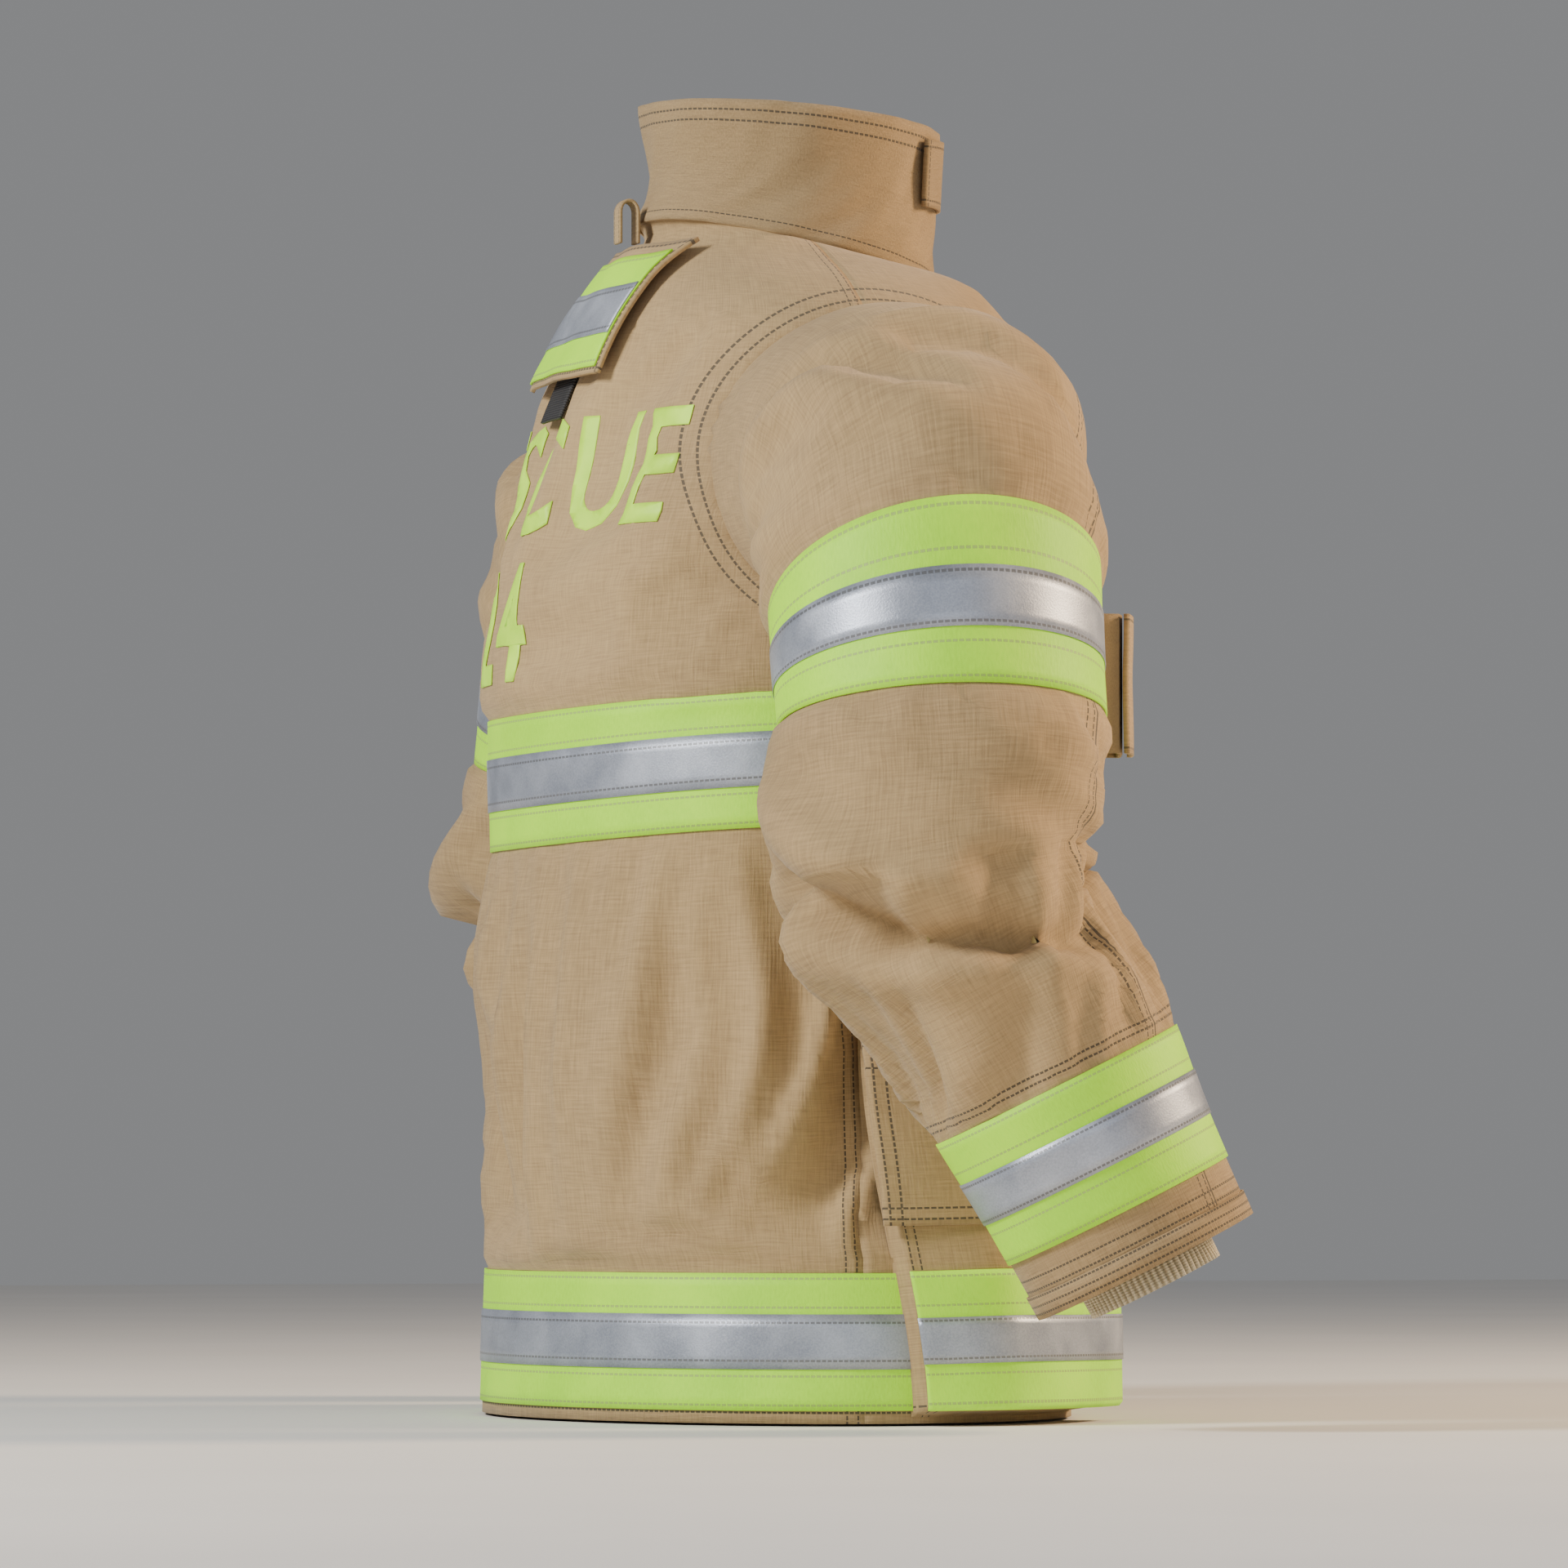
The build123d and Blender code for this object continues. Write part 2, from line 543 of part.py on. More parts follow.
def drag_flap():
    half = DRAG_FLAP_HALF_W
    zone = block((-half, half), (0, BIG), (DRAG_FLAP_BOTTOM_Z, DRAG_FLAP_TOP_Z))
    flap = layer(DRAG_FLAP_LIFT, DRAG_FLAP_LIFT + FLAP_T) & zone
    inset = block((-half + 2, half - 2), (0, BIG), (-BIG, BIG))
    low = DRAG_FLAP_LIFT + FLAP_T + LIFT
    height = DRAG_FLAP_TOP_Z - DRAG_FLAP_BOTTOM_Z
    z = (DRAG_FLAP_BOTTOM_Z + 3, DRAG_FLAP_TOP_Z - 6)
    tape = layer(low, low + TAPE_T) & inset & block((-BIG, BIG), (0, BIG), z)
    middle = (z[0] + z[1]) / 2
    share = height / TRIM_W * SILVER_W / 2
    low += TAPE_T + SEAM_GAP / 2
    stripe = layer(low, low + SILVER_T) & inset
    stripe &= block((-BIG, BIG), (0, BIG), (middle - share, middle + share))
    return flap, tape, stripe


# ================================================================ sleeves, made for the right side (-X) and mirrored
def right(point):
    return Vector(-point[0], point[1], point[2])


def section(row, grow):
    """One ellipse of a sleeve: (centre, direction, radius across, radius along Y).

    The radius along Y is always the larger one, so that every ellipse starts on the same side.
    """
    centre, direction, across, along = row
    plane = Plane(origin=centre, x_dir=Vector(0, 1, 0), z_dir=direction)
    return (plane * Ellipse(along + grow, across + grow)).face()


def tube_sides(rows, grow):
    """The faces that join each section of a sleeve to the next."""
    sides = []
    for first, second in zip(rows, rows[1:]):
        piece = loft([section(first, grow), section(second, grow)], ruled=True)
        sides += [f for f in piece.faces() if f.geom_type != GeomType.PLANE]
    return sides


def tube(rows, grow):
    return Solid(Shell(tube_sides(rows, grow) + [section(rows[0], grow), section(rows[-1], grow)]))


def tube_shell(rows, inner, outer):
    caps = [
        Face(section(row, outer).outer_wire(), [section(row, inner).outer_wire()])
        for row in (rows[0], rows[-1])
    ]
    return Solid(Shell(tube_sides(rows, outer) + tube_sides(rows, inner) + caps))


def upper_rows():
    """Sections from the armhole, round the bend over the shoulder and down past the elbow."""
    e = right(ELBOW)
    r = SLEEVE_HEAD_R
    end = UPPER_END_R
    head = Vector(-SLEEVE_HEAD_X, SHOULDER_Y, SHOULDER_Z)
    return [
        (head, Vector(-1, 0, 0), r, r + 1),
        (head + Vector(-30, 0, 0), Vector(-1, 0, 0), r, r + 1),
        (head + Vector(-62, 0, -8), Vector(-0.95, 0, -0.30), r + 1, r + 2),
        (head + Vector(-91, 1, -32), Vector(-0.82, 0, -0.57), r + 2, r + 3),
        (head + Vector(-110, 2, -66), Vector(-0.58, 0, -0.81), end + 3, end + 4),
        (head + Vector(-124, 4, -112), Vector(-0.32, 0, -0.95), end + 1, end + 2),
        (e + Vector(6, 0, 50), Vector(-0.12, 0, -0.993), end, end + 1),
        (e + Vector(-4, 0, -50), Vector(-0.1, 0, -0.995), end, end + 1),
    ]


def forearm_dir():
    lean, splay = math.radians(FOREARM_LEAN), math.radians(FOREARM_SPLAY)
    return Vector(-math.sin(splay), -math.sin(lean) * math.cos(splay), -math.cos(lean) * math.cos(splay))


def lower_rows():
    e, d = right(ELBOW), forearm_dir()
    return [
        (e + d * 20, d, FOREARM_TOP_R, FOREARM_TOP_R + 1),
        (e + d * FOREARM_L * 0.55, d, FOREARM_TOP_R - 3, FOREARM_TOP_R - 2),
        (e + d * FOREARM_L, d, CUFF_R, CUFF_R + 3),
    ]


def ball_point(angle_deg, radius):
    """A point round the elbow's hinge: degrees from straight down, positive forward."""
    a = math.radians(angle_deg)
    e = right(ELBOW)
    return Vector(e.X, e.Y - radius * math.sin(a), e.Z - radius * math.cos(a))


def beyond_line(front_deg, back_deg, radius, keep_above):
    """A big box on one side of the plane through two points round the elbow, along X."""
    front, back = ball_point(front_deg, radius), ball_point(back_deg, radius)
    along = (back - front).normalized()
    up = Vector(1, 0, 0).cross(along)
    if up.Z < 0:
        up = up * -1
    if not keep_above:
        up = up * -1
    plane = Plane(origin=(front + back) / 2, x_dir=Vector(1, 0, 0), z_dir=up)
    return plane * Pos(0, 0, BIG / 2) * Box(BIG, BIG, BIG)


def upper_sleeve():
    rows = upper_rows()
    above = beyond_line(RIM_FRONT, RIM_BACK, UPPER_END_R, True)
    shell = tube_shell(rows, -SHELL_T, 0.0) & above
    low = -SHELL_T - LAYER_GAP
    lining_shell = tube_shell(rows, low - LINER_T, low)
    e = right(ELBOW)
    room = Pos(e) * Sphere(ELBOW_R + MOVING_GAP + 1)
    lining_shell = (lining_shell & above) - room - block((-SLEEVE_HEAD_X - 6, 0), (-BIG, BIG), (-BIG, BIG))
    return shell, lining_shell


def between(a, b, share):
    """The section a share of the way from row a to row b."""
    mixed = [x + (y - x) * share for x, y in zip(a, b)]
    return (mixed[0], mixed[1].normalized(), mixed[2], mixed[3])


def upper_band(inner, outer, width):
    """A ring of a given width round the upper sleeve, centred on one of its sections."""
    rows = upper_rows()
    before, mid, after = rows[UPPER_BAND_ROW - 1:UPPER_BAND_ROW + 2]
    up = width / 2 / (mid[0] - before[0]).length
    down = width / 2 / (after[0] - mid[0]).length
    return tube_shell([between(mid, before, up), mid, between(mid, after, down)], inner, outer)


def upper_trim():
    """Tape and stripe round the upper sleeve."""
    low = LIFT + TAPE_T + SEAM_GAP / 2
    return upper_band(LIFT, LIFT + TAPE_T, TRIM_W), upper_band(low, low + SILVER_T, SILVER_W)


def lower_sleeve():
    rows = lower_rows()
    e = right(ELBOW)
    outer = Pos(e) * Sphere(ELBOW_R) + tube(rows, 0)
    inner = Pos(e) * Sphere(ELBOW_R - SHELL_T) + tube(rows, -SHELL_T)
    hole_front = RIM_FRONT + 18
    hole_back = RIM_BACK - 58
    cap = beyond_line(hole_front, hole_back, ELBOW_R, True)
    shell = outer - inner - cap
    g = -SHELL_T - LAYER_GAP
    lining_outer = Pos(e) * Sphere(ELBOW_R + g) + tube(rows, g)
    lining_inner = Pos(e) * Sphere(ELBOW_R + g - LINER_T) + tube(rows, g - LINER_T)
    lining_shell = lining_outer - lining_inner - cap
    d = forearm_dir()
    end = Plane(origin=e + d * (FOREARM_L - 22), x_dir=Vector(1, 0, 0), z_dir=d)
    past_end = end * Pos(0, 0, BIG / 2) * Box(BIG, BIG, BIG)
    return shell, lining_shell - past_end


def cuff_pieces():
    """The cuff's trim tape, stripe, binding and knit wristlet."""
    rows = lower_rows()
    e, d = right(ELBOW), forearm_dir()

    def slab(mid, length):
        return Plane(origin=e + d * mid, x_dir=Vector(1, 0, 0), z_dir=d) * Box(BIG, BIG, length)

    mid = FOREARM_L - CUFF_BAND_FROM_END - TRIM_W / 2
    tape = tube_shell(rows, LIFT, LIFT + TAPE_T) & slab(mid, TRIM_W)
    low = LIFT + TAPE_T + SEAM_GAP / 2
    stripe = tube_shell(rows, low, low + SILVER_T) & slab(mid, SILVER_W)
    binding = tube_shell(rows, LIFT, LIFT + 1.6) & slab(FOREARM_L - 9, 14)
    knit_rows = [
        (e + d * (FOREARM_L - 20), d, CUFF_R - 9, CUFF_R - 6),
        (e + d * (FOREARM_L - 12), d, CUFF_R - 14, CUFF_R - 11),
        (e + d * (FOREARM_L + 14), d, 37.0, 39.0),
    ]
    wristlet = tube_shell(knit_rows, -2.5, 0.0)
    return tape, stripe, binding, wristlet


# ================================================================ build and write
os.makedirs("parts", exist_ok=True)

back_panel, right_front, left_front = body_panels()
write("back_panel", back_panel)
write("right_front_panel", right_front)
write("left_front_panel", left_front)
barrier_outer = -SHELL_T - LAYER_GAP
write("moisture_barrier", lining(barrier_outer, BARRIER_T, 20))
write("thermal_liner", lining(barrier_outer - BARRIER_T - LAYER_GAP, LINER_T, 24))

write("collar_shell", collar(0.0, COLLAR_T))
write("collar_lining", collar(-COLLAR_T - SEAM_GAP, COLLAR_LINING_T))
write("throat_tab", throat_tab())
write("hang_loop", hang_loop())

tape, stripe = chest_trim()
write("chest_trim", tape)
write("chest_silver", stripe)
tape, stripe = hem_trim()
write("hem_trim", tape)
write("hem_silver", stripe)

for name, side in (("right", -1), ("left", 1)):
    write(f"{name}_pocket", cargo_pocket(side))
    write(f"{name}_pocket_flap", cargo_flap(side))

flap, hook, loop, tape, stripe = storm_flap()
write("storm_flap", flap)
write("storm_flap_hook_strip", hook)
write("front_loop_strip", loop)
write("storm_flap_trim", tape)
write("storm_flap_silver", stripe)

tapes, teeth = zipper()
write("zipper_tapes", tapes)
write("zipper_teeth", Compound(children=teeth))
write("zipper_slider", slider())
write("zipper_pull", pull())

write("radio_pocket", radio_pocket())
write("radio_pocket_flap", radio_flap())
strap, tape, cover = light_strap()
write("flashlight_strap", strap)
write("flashlight_hook_tape", tape)
write("flashlight_cover", cover)
write("hook_tab", hook_tab())
write("mic_tab", mic_tab())
hook_body, hook_gate = snap_hook()[:2]
write("snap_hook", hook_body)
write("snap_gate", hook_gate)

write("drag_strap", drag_strap())
flap, tape, stripe = drag_flap()
write("drag_flap", flap)
write("drag_flap_trim", tape)
write("drag_flap_silver", stripe)

sleeve_parts = {}
sleeve_parts["upper_sleeve"], sleeve_parts["upper_liner"] = upper_sleeve()
sleeve_parts["upper_trim"], sleeve_parts["upper_silver"] = upper_trim()
sleeve_parts["lower_sleeve"], sleeve_parts["lower_liner"] = lower_sleeve()
(
    sleeve_parts["cuff_trim"],
    sleeve_parts["cuff_silver"],
    sleeve_parts["cuff_binding"],
    sleeve_parts["wristlet"],
) = cuff_pieces()
for name, shape in sleeve_parts.items():
    write(f"right_{name}", shape)
    write(f"left_{name}", shape.mirror(Plane.YZ))
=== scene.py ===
import bpy
import bmesh
import math
from mathutils import Matrix, Vector, noise
from mathutils.bvhtree import BVHTree


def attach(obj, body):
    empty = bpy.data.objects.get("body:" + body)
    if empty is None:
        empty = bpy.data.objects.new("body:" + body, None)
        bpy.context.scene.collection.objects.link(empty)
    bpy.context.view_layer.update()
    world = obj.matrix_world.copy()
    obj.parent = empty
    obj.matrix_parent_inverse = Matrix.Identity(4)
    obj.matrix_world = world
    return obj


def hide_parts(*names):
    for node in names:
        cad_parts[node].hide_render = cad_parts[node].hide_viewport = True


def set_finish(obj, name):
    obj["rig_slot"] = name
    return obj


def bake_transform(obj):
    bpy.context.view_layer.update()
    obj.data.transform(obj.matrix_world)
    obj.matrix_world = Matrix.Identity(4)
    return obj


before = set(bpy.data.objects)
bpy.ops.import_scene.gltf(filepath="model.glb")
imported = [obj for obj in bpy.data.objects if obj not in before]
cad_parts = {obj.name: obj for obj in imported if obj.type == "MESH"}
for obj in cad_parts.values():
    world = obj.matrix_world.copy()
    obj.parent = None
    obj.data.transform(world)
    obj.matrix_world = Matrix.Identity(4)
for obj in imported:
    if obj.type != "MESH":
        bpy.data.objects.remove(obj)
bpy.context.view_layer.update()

# ======================================
# Outer shell of the body. Tan aramid cloth, cut as a back and two fronts that are sewn together at
# the sides. It hangs from the shoulders, close and smooth at the top and in long soft folds below.
# ======================================
neck_axis_y = -0.095
# height, half width, half depth and middle of the body, from the neck down to the hem
body_sections = [
    (0.002, 0.079, 0.075, 0.000), (-0.019, 0.084, 0.080, 0.000), (-0.034, 0.106, 0.092, -0.001),
    (-0.056, 0.158, 0.108, -0.002), (-0.080, 0.194, 0.122, -0.003), (-0.114, 0.204, 0.137, -0.003),
    (-0.164, 0.206, 0.152, -0.003), (-0.210, 0.207, 0.159, 0.002), (-0.274, 0.208, 0.162, 0.005),
    (-0.384, 0.212, 0.161, 0.004), (-0.534, 0.221, 0.161, 0.004), (-0.699, 0.234, 0.163, 0.006),
]


def along(table, key):
    """Reads a table of sections at any value of its first column, on a smooth curve."""
    rows = table if table[0][0] < table[-1][0] else table[::-1]
    key = min(max(key, rows[0][0]), rows[-1][0])
    i = max(i for i in range(len(rows) - 1) if rows[i][0] <= key + 1e-9)
    before, a, b, after = rows[max(i - 1, 0)], rows[i], rows[i + 1], rows[min(i + 2, len(rows) - 1)]
    t = (key - a[0]) / (b[0] - a[0])
    found = []
    for p, q, r, s in zip(before[1:], a[1:], b[1:], after[1:]):
        rise_a = (r - p) / (b[0] - before[0]) * (b[0] - a[0])
        rise_b = (s - q) / (after[0] - a[0]) * (b[0] - a[0])
        found.append(
            q * (2 * t**3 - 3 * t**2 + 1) + r * (3 * t**2 - 2 * t**3)
            + rise_a * (t**3 - 2 * t**2 + t) + rise_b * (t**3 - t**2)
        )
    return found


def on_body(turn, height, lift=0.0):
    """A point on the body's surface. turn goes from 0 at the front, over the right side, to 1."""
    half_w, half_d, mid = along(body_sections, height)
    angle = turn * 2 * math.pi
    point = Vector((-math.sin(angle) * half_w, neck_axis_y + mid - math.cos(angle) * half_d, height))
    if lift:
        out = Vector((-math.sin(angle) / half_w, -math.cos(angle) / half_d, 0)).normalized()
        below = along(body_sections, height - 0.01)
        slope = ((below[0] - half_w) * abs(out.x) + (below[1] - half_d) * abs(out.y)) / 0.01
        point += (out + Vector((0, 0, slope))).normalized() * lift
    return point


def lines(stops, step):
    """Grid lines that fall on each stop, about a step apart."""
    found = [stops[0]]
    for a, b in zip(stops, stops[1:]):
        count = max(1, round(abs(b - a) / step))
        found += [a + (b - a) * i / count for i in range(1, count + 1)]
    return found


def cloth(name, across, down, place, inside=None):
    """A flat grid of cloth, brought to its place. Its cut is its UV map, and it faces away from inside."""
    bm = bmesh.new()
    uv = bm.loops.layers.uv.new("cut")
    bmesh.ops.create_grid(bm, x_segments=len(across) - 1, y_segments=len(down) - 1, size=0.5)
    for vert in bm.verts:
        column = round((vert.co.x + 0.5) * (len(across) - 1))
        row = round((0.5 - vert.co.y) * (len(down) - 1))
        for loop in vert.link_loops:
            loop[uv].uv = (across[column], down[row])
        vert.co = place(across[column], down[row])
    bm.normal_update()
    middle = Vector(inside) if inside else sum((vert.co for vert in bm.verts), Vector()) / len(bm.verts)
    if sum(f.normal.dot(f.calc_center_median() - middle) * f.calc_area() for f in bm.faces) < 0:
        bmesh.ops.reverse_faces(bm, faces=bm.faces)
    mesh = bpy.data.meshes.new(name)
    bm.to_mesh(mesh)
    bm.free()
    piece = bpy.data.objects.new(name, mesh)
    bpy.context.collection.objects.link(piece)
    mesh.shade_smooth()
    return piece


def edit(piece, change):
    """Opens a piece as a bmesh, changes it and puts it back."""
    bm = bmesh.new()
    bm.from_mesh(piece.data)
    change(bm, bm.loops.layers.uv.active)
    bm.to_mesh(piece.data)
    bm.free()
    piece.data.update()
    return piece


def settle(piece, held, growth, cap, frames=22, bending=4.0):
    """Lets cloth that is a little too big for its place fall into folds between its sewn parts."""
    rest = [vert.co.copy() for vert in piece.data.vertices]
    group = piece.vertex_groups.new(name="held")
    for vert in piece.data.vertices:
        group.add([vert.index], held(vert.co), "REPLACE")
    folds = piece.modifiers.new("folds", "CLOTH")
    folds.settings.quality = 6
    folds.settings.mass = 0.3
    folds.settings.tension_stiffness = 30
    folds.settings.compression_stiffness = 30
    folds.settings.shear_stiffness = 8
    folds.settings.bending_stiffness = bending
    folds.settings.air_damping = 3
    folds.settings.shrink_min = -growth
    folds.settings.vertex_group_mass = "held"
    folds.settings.pin_stiffness = 1
    folds.settings.effector_weights.gravity = 0.12
    folds.point_cache.frame_start = 1
    folds.point_cache.frame_end = frames
    for step in range(1, frames + 1):
        bpy.context.scene.frame_set(step)
    settled = piece.evaluated_get(bpy.context.evaluated_depsgraph_get()).to_mesh()
    moved = [vert.co.copy() for vert in settled.vertices]
    piece.modifiers.remove(folds)
    for vert, start, end in zip(piece.data.vertices, rest, moved):
        step = end - start
        if step.length > cap:
            step *= cap / step.length
        vert.co = start + step
    bpy.context.scene.frame_set(1)
    piece.vertex_groups.clear()


shoulder = Vector((0.224, neck_axis_y + 0.002, -0.167))
armhole_radius = 0.092
girth = 1.18
side_seams = (0.268 * girth, 0.732 * girth)
neck_drop = (-0.010, -0.050)
chest_band_top, hem_band_top, band_height = -0.299, -0.616, 0.076
hem = -0.699
heights = lines(
    [-0.114, chest_band_top, chest_band_top - band_height, hem_band_top, hem_band_top - band_height, hem],
    0.0078,
)
shoulder_rows = [0.002 - 0.116 * (i / 22) ** 1.25 for i in range(22)]
down = shoulder_rows + heights
rounds = lines([0.003, side_seams[0], side_seams[1], girth - 0.003], 0.0068)


def body_place(around, height):
    """Where a point of the shell cloth sits, with the neckline dropped towards the front."""
    turn, share = around / girth, 1.0
    if height > -0.114:
        ahead = (1 + math.cos(turn * 2 * math.pi)) / 2
        neckline = neck_drop[0] + (neck_drop[1] - neck_drop[0]) * ahead
        share = (0.002 - height) / 0.116
        height = neckline + (-0.114 - neckline) * share
    point = on_body(turn, height)
    if height > -0.06 and share < 0.09:
        angle = turn * 2 * math.pi
        collar_foot = Vector((-math.sin(angle) * 0.087, neck_axis_y - math.cos(angle) * 0.085, neckline))
        point = collar_foot.lerp(point, share / 0.09)
    side = math.sin(turn * 2 * math.pi) ** 2
    if -0.50 < height < -0.18:
        point.z += 0.009 * side * math.sin((height + 0.50) / 0.32 * math.pi)
    # long folds that start under the chest band and die out at the hem's band
    reach = max(0.0, math.sin(min(max((chest_band_top - band_height - height) / 0.236, 0), 1) * math.pi))
    wander = turn * 21 + 0.8 * noise.noise(Vector((turn * 6, height * 7, 1.3)))
    swing = 0.55 - 1.5 * abs(noise.noise(Vector((wander, height * 2.4, 3.1))))
    swing += noise.noise(Vector((turn * 43 + height * 7, height * 5, 9.7))) * 0.5
    swing *= reach * 0.031
    above = max(0.0, math.sin(min(max((-0.10 - height) / 0.2, 0), 1) * math.pi))
    swing += above * 0.008 * noise.noise(Vector((turn * 15 + height * 6, height * 6, 5.5)))
    out = Vector((point.x, (point.y - neck_axis_y) * 1.6, 0)).normalized()
    return point + out * swing


def in_armhole(co, margin=0.0):
    around = Vector((co.y - shoulder.y, co.z - shoulder.z)).length
    return abs(co.x) > 0.1 and around < armhole_radius + margin


def cut_armholes(bm, uv):
    gone = [f for f in bm.faces if in_armhole(f.calc_center_median(), -0.004)]
    bmesh.ops.delete(bm, geom=gone, context="FACES")
    for vert in bm.verts:
        if vert.is_boundary and in_armhole(vert.co, 0.012):
            spoke = Vector((vert.co.y - shoulder.y, vert.co.z - shoulder.z)).normalized()
            spoke *= armhole_radius - 0.004
            vert.co.y, vert.co.z = shoulder.y + spoke.x, shoulder.z + spoke.y


def body_held(co):
    """1 where the shell is sewn to something stiff, and less in between."""
    if co.z > -0.075 or in_armhole(co, 0.02) or co.z < hem_band_top + 0.004:
        return 1.0
    if chest_band_top - band_height - 0.004 < co.z < chest_band_top + 0.004:
        return 1.0
    if abs(co.x) < 0.03 and co.y < neck_axis_y:
        return 1.0
    return 0.0


body_cloth = cloth("body_cloth", rounds, down, body_place)
edit(body_cloth, cut_armholes)
settle(body_cloth, body_held, growth=0.026, cap=0.009)


def panel(name, source, keep, lift=0.0, thick=0.0, inward=True):
    """A copy of the part of a cloth that keep accepts, moved out by lift and given its thickness."""
    piece = bpy.data.objects.new(name, source.data.copy())
    bpy.context.collection.objects.link(piece)

    def trim_to_size(bm, uv):
        normals = {v: v.normal.copy() for v in bm.verts}
        for vert in bm.verts:
            vert.co += normals[vert] * lift
        gone = []
        for face in bm.faces:
            u = sum(loop[uv].uv.x for loop in face.loops) / len(face.loops)
            v = sum(loop[uv].uv.y for loop in face.loops) / len(face.loops)
            if not keep(u, v):
                gone.append(face)
        bmesh.ops.delete(bm, geom=gone, context="FACES")

    edit(piece, trim_to_size)
    if thick:
        solid = piece.modifiers.new("thickness", "SOLIDIFY")
        solid.thickness = thick
        solid.offset = -1 if inward else 1
        solid.use_even_offset = False
    piece.data.materials.clear()
    return piece


shell_thick = 0.0020
back = panel(
    "back_panel_cloth", body_cloth, lambda u, v: side_seams[0] < u < side_seams[1], thick=shell_thick
)
right_front = panel("right_front_cloth", body_cloth, lambda u, v: u <= side_seams[0], thick=shell_thick)
left_front = panel("left_front_cloth", body_cloth, lambda u, v: u >= side_seams[1], thick=shell_thick)


class Flow:
    """A socket in a material, which can be used in sums. Any other node comes from node()."""

    def __init__(self, material, socket=None):
        self.material, self.socket = material, socket

    def node(self, kind, out=0, settings=None, **sockets):
        made = self.material.node_tree.nodes.new(kind)
        for key, value in (settings or {}).items():
            setattr(made, key, value)
        for key, value in sockets.items():
            target = made.inputs[int(key[1:]) if key[1:].isdigit() else key.replace("_", " ")]
            if isinstance(value, Flow):
                self.material.node_tree.links.new(value.socket, target)
            else:
                target.default_value = value
        return Flow(self.material, made.outputs[out])

    def math(self, operation, *values):
        numbers = {f"i{i}": value for i, value in enumerate(values)}
        return self.node("ShaderNodeMath", 0, {"operation": operation}, **numbers)

    def __add__(self, other): return self.math("ADD", self, other)
    def __radd__(self, other): return self.math("ADD", other, self)
    def __sub__(self, other): return self.math("SUBTRACT", self, other)
    def __rsub__(self, other): return self.math("SUBTRACT", other, self)
    def __mul__(self, other): return self.math("MULTIPLY", self, other)
    def __rmul__(self, other): return self.math("MULTIPLY", other, self)
    def __truediv__(self, other): return self.math("DIVIDE", self, other)
    def __lt__(self, other): return self.math("LESS_THAN", self, other)
    def __gt__(self, other): return self.math("GREATER_THAN", self, other)
    def __mod__(self, other): return self.math("FLOORED_MODULO", self, other)
    def __abs__(self): return self.math("ABSOLUTE", self)

    def larger(self, other):
        return self.math("MAXIMUM", self, other)

    def mix(self, low, high):
        """A colour between two, by this value."""
        low, high = (c if isinstance(c, Flow) else (*c, 1) for c in (low, high))
        return self.node("ShaderNodeMix", 2, {"data_type": "RGBA"}, i0=self, i6=low, i7=high)

    def ease(self, low, high):
        """0 below low, 1 above high, and smooth between."""
        smooth = {"interpolation_type": "SMOOTHSTEP"}
        return self.node("ShaderNodeMapRange", 0, smooth, Value=self, From_Min=low, From_Max=high)

    def parts(self, vector):
        return (self.node("ShaderNodeSeparateXYZ", i, Vector=vector) for i in range(3))

    def cut(self):
        """The two coordinates of a cloth's flat cut, in metres."""
        across, down, _ = self.parts(self.node("ShaderNodeUVMap", 0, {"uv_map": "cut"}))
        return across, down

    def join(self, x, y, z=0.0):
        return self.node("ShaderNodeCombineXYZ", X=x, Y=y, Z=z)

    def place(self):
        return self.node("ShaderNodeTexCoord", 3)

    def cloudy(self, scale, detail=2.0, vector=None):
        return self.node("ShaderNodeTexNoise", Vector=vector or self.place(), Scale=scale, Detail=detail)

    def stitches(self, aside, forward, pitch=0.0034, width=0.0006):
        """A row of stitches where aside is 0, running along forward."""
        return (abs(aside) < width) * ((forward % pitch) < pitch * 0.74)

    def finish(self, colour, roughness, height=None, depth=0.0004, **plain):
        """The surface, with bumps from a height between 0 and 1. Returns the material."""
        if height is not None:
            plain["Normal"] = self.node("ShaderNodeBump", Height=height, Distance=depth)
        colour = colour if isinstance(colour, Flow) else (*colour, 1)
        surface = self.node("ShaderNodeBsdfPrincipled", Base_Color=colour, Roughness=roughness, **plain)
        tree = self.material.node_tree
        tree.links.new(surface.socket, tree.nodes.new("ShaderNodeOutputMaterial").inputs["Surface"])
        return self.material


def new_finish(name):
    material = bpy.data.materials.new(name)
    material.use_nodes = True
    material.node_tree.nodes.clear()
    return Flow(material)


def put_on(material, *pieces):
    for piece in pieces:
        piece.data.materials.clear()
        piece.data.materials.append(material)


tan_light, tan_dark = (0.50, 0.345, 0.165), (0.235, 0.155, 0.072)
thread = (0.10, 0.075, 0.045)


def tan_cloth(name, rows=None):
    """Tan aramid in a slubby plain weave. rows gives the stitch rows that cross this piece."""
    f = new_finish(name)
    across, down = f.cut()
    warp = f.cloudy(1.0, 3.0, f.join(across * 900, down * 55, 0.0))
    weft = f.cloudy(1.0, 3.0, f.join(across * 55, down * 900, 7.0))
    slubs = (warp + weft) * 0.5
    cloud = f.cloudy(7.0, 3.0)
    tone = (slubs - 0.5) * 1.15 + (cloud - 0.5) * 0.6 + 0.60
    colour = tone.ease(0.1, 1.05).mix(tan_dark, tan_light)
    height = (slubs - 0.5) * 0.9 + 0.5
    if rows:
        sewn = rows(f, across, down)
        colour = sewn.mix(colour, thread)
        height = height - sewn * 0.9
    return f.finish(colour, 0.85, height, 0.0007, Sheen_Weight=0.12, Sheen_Roughness=0.5)


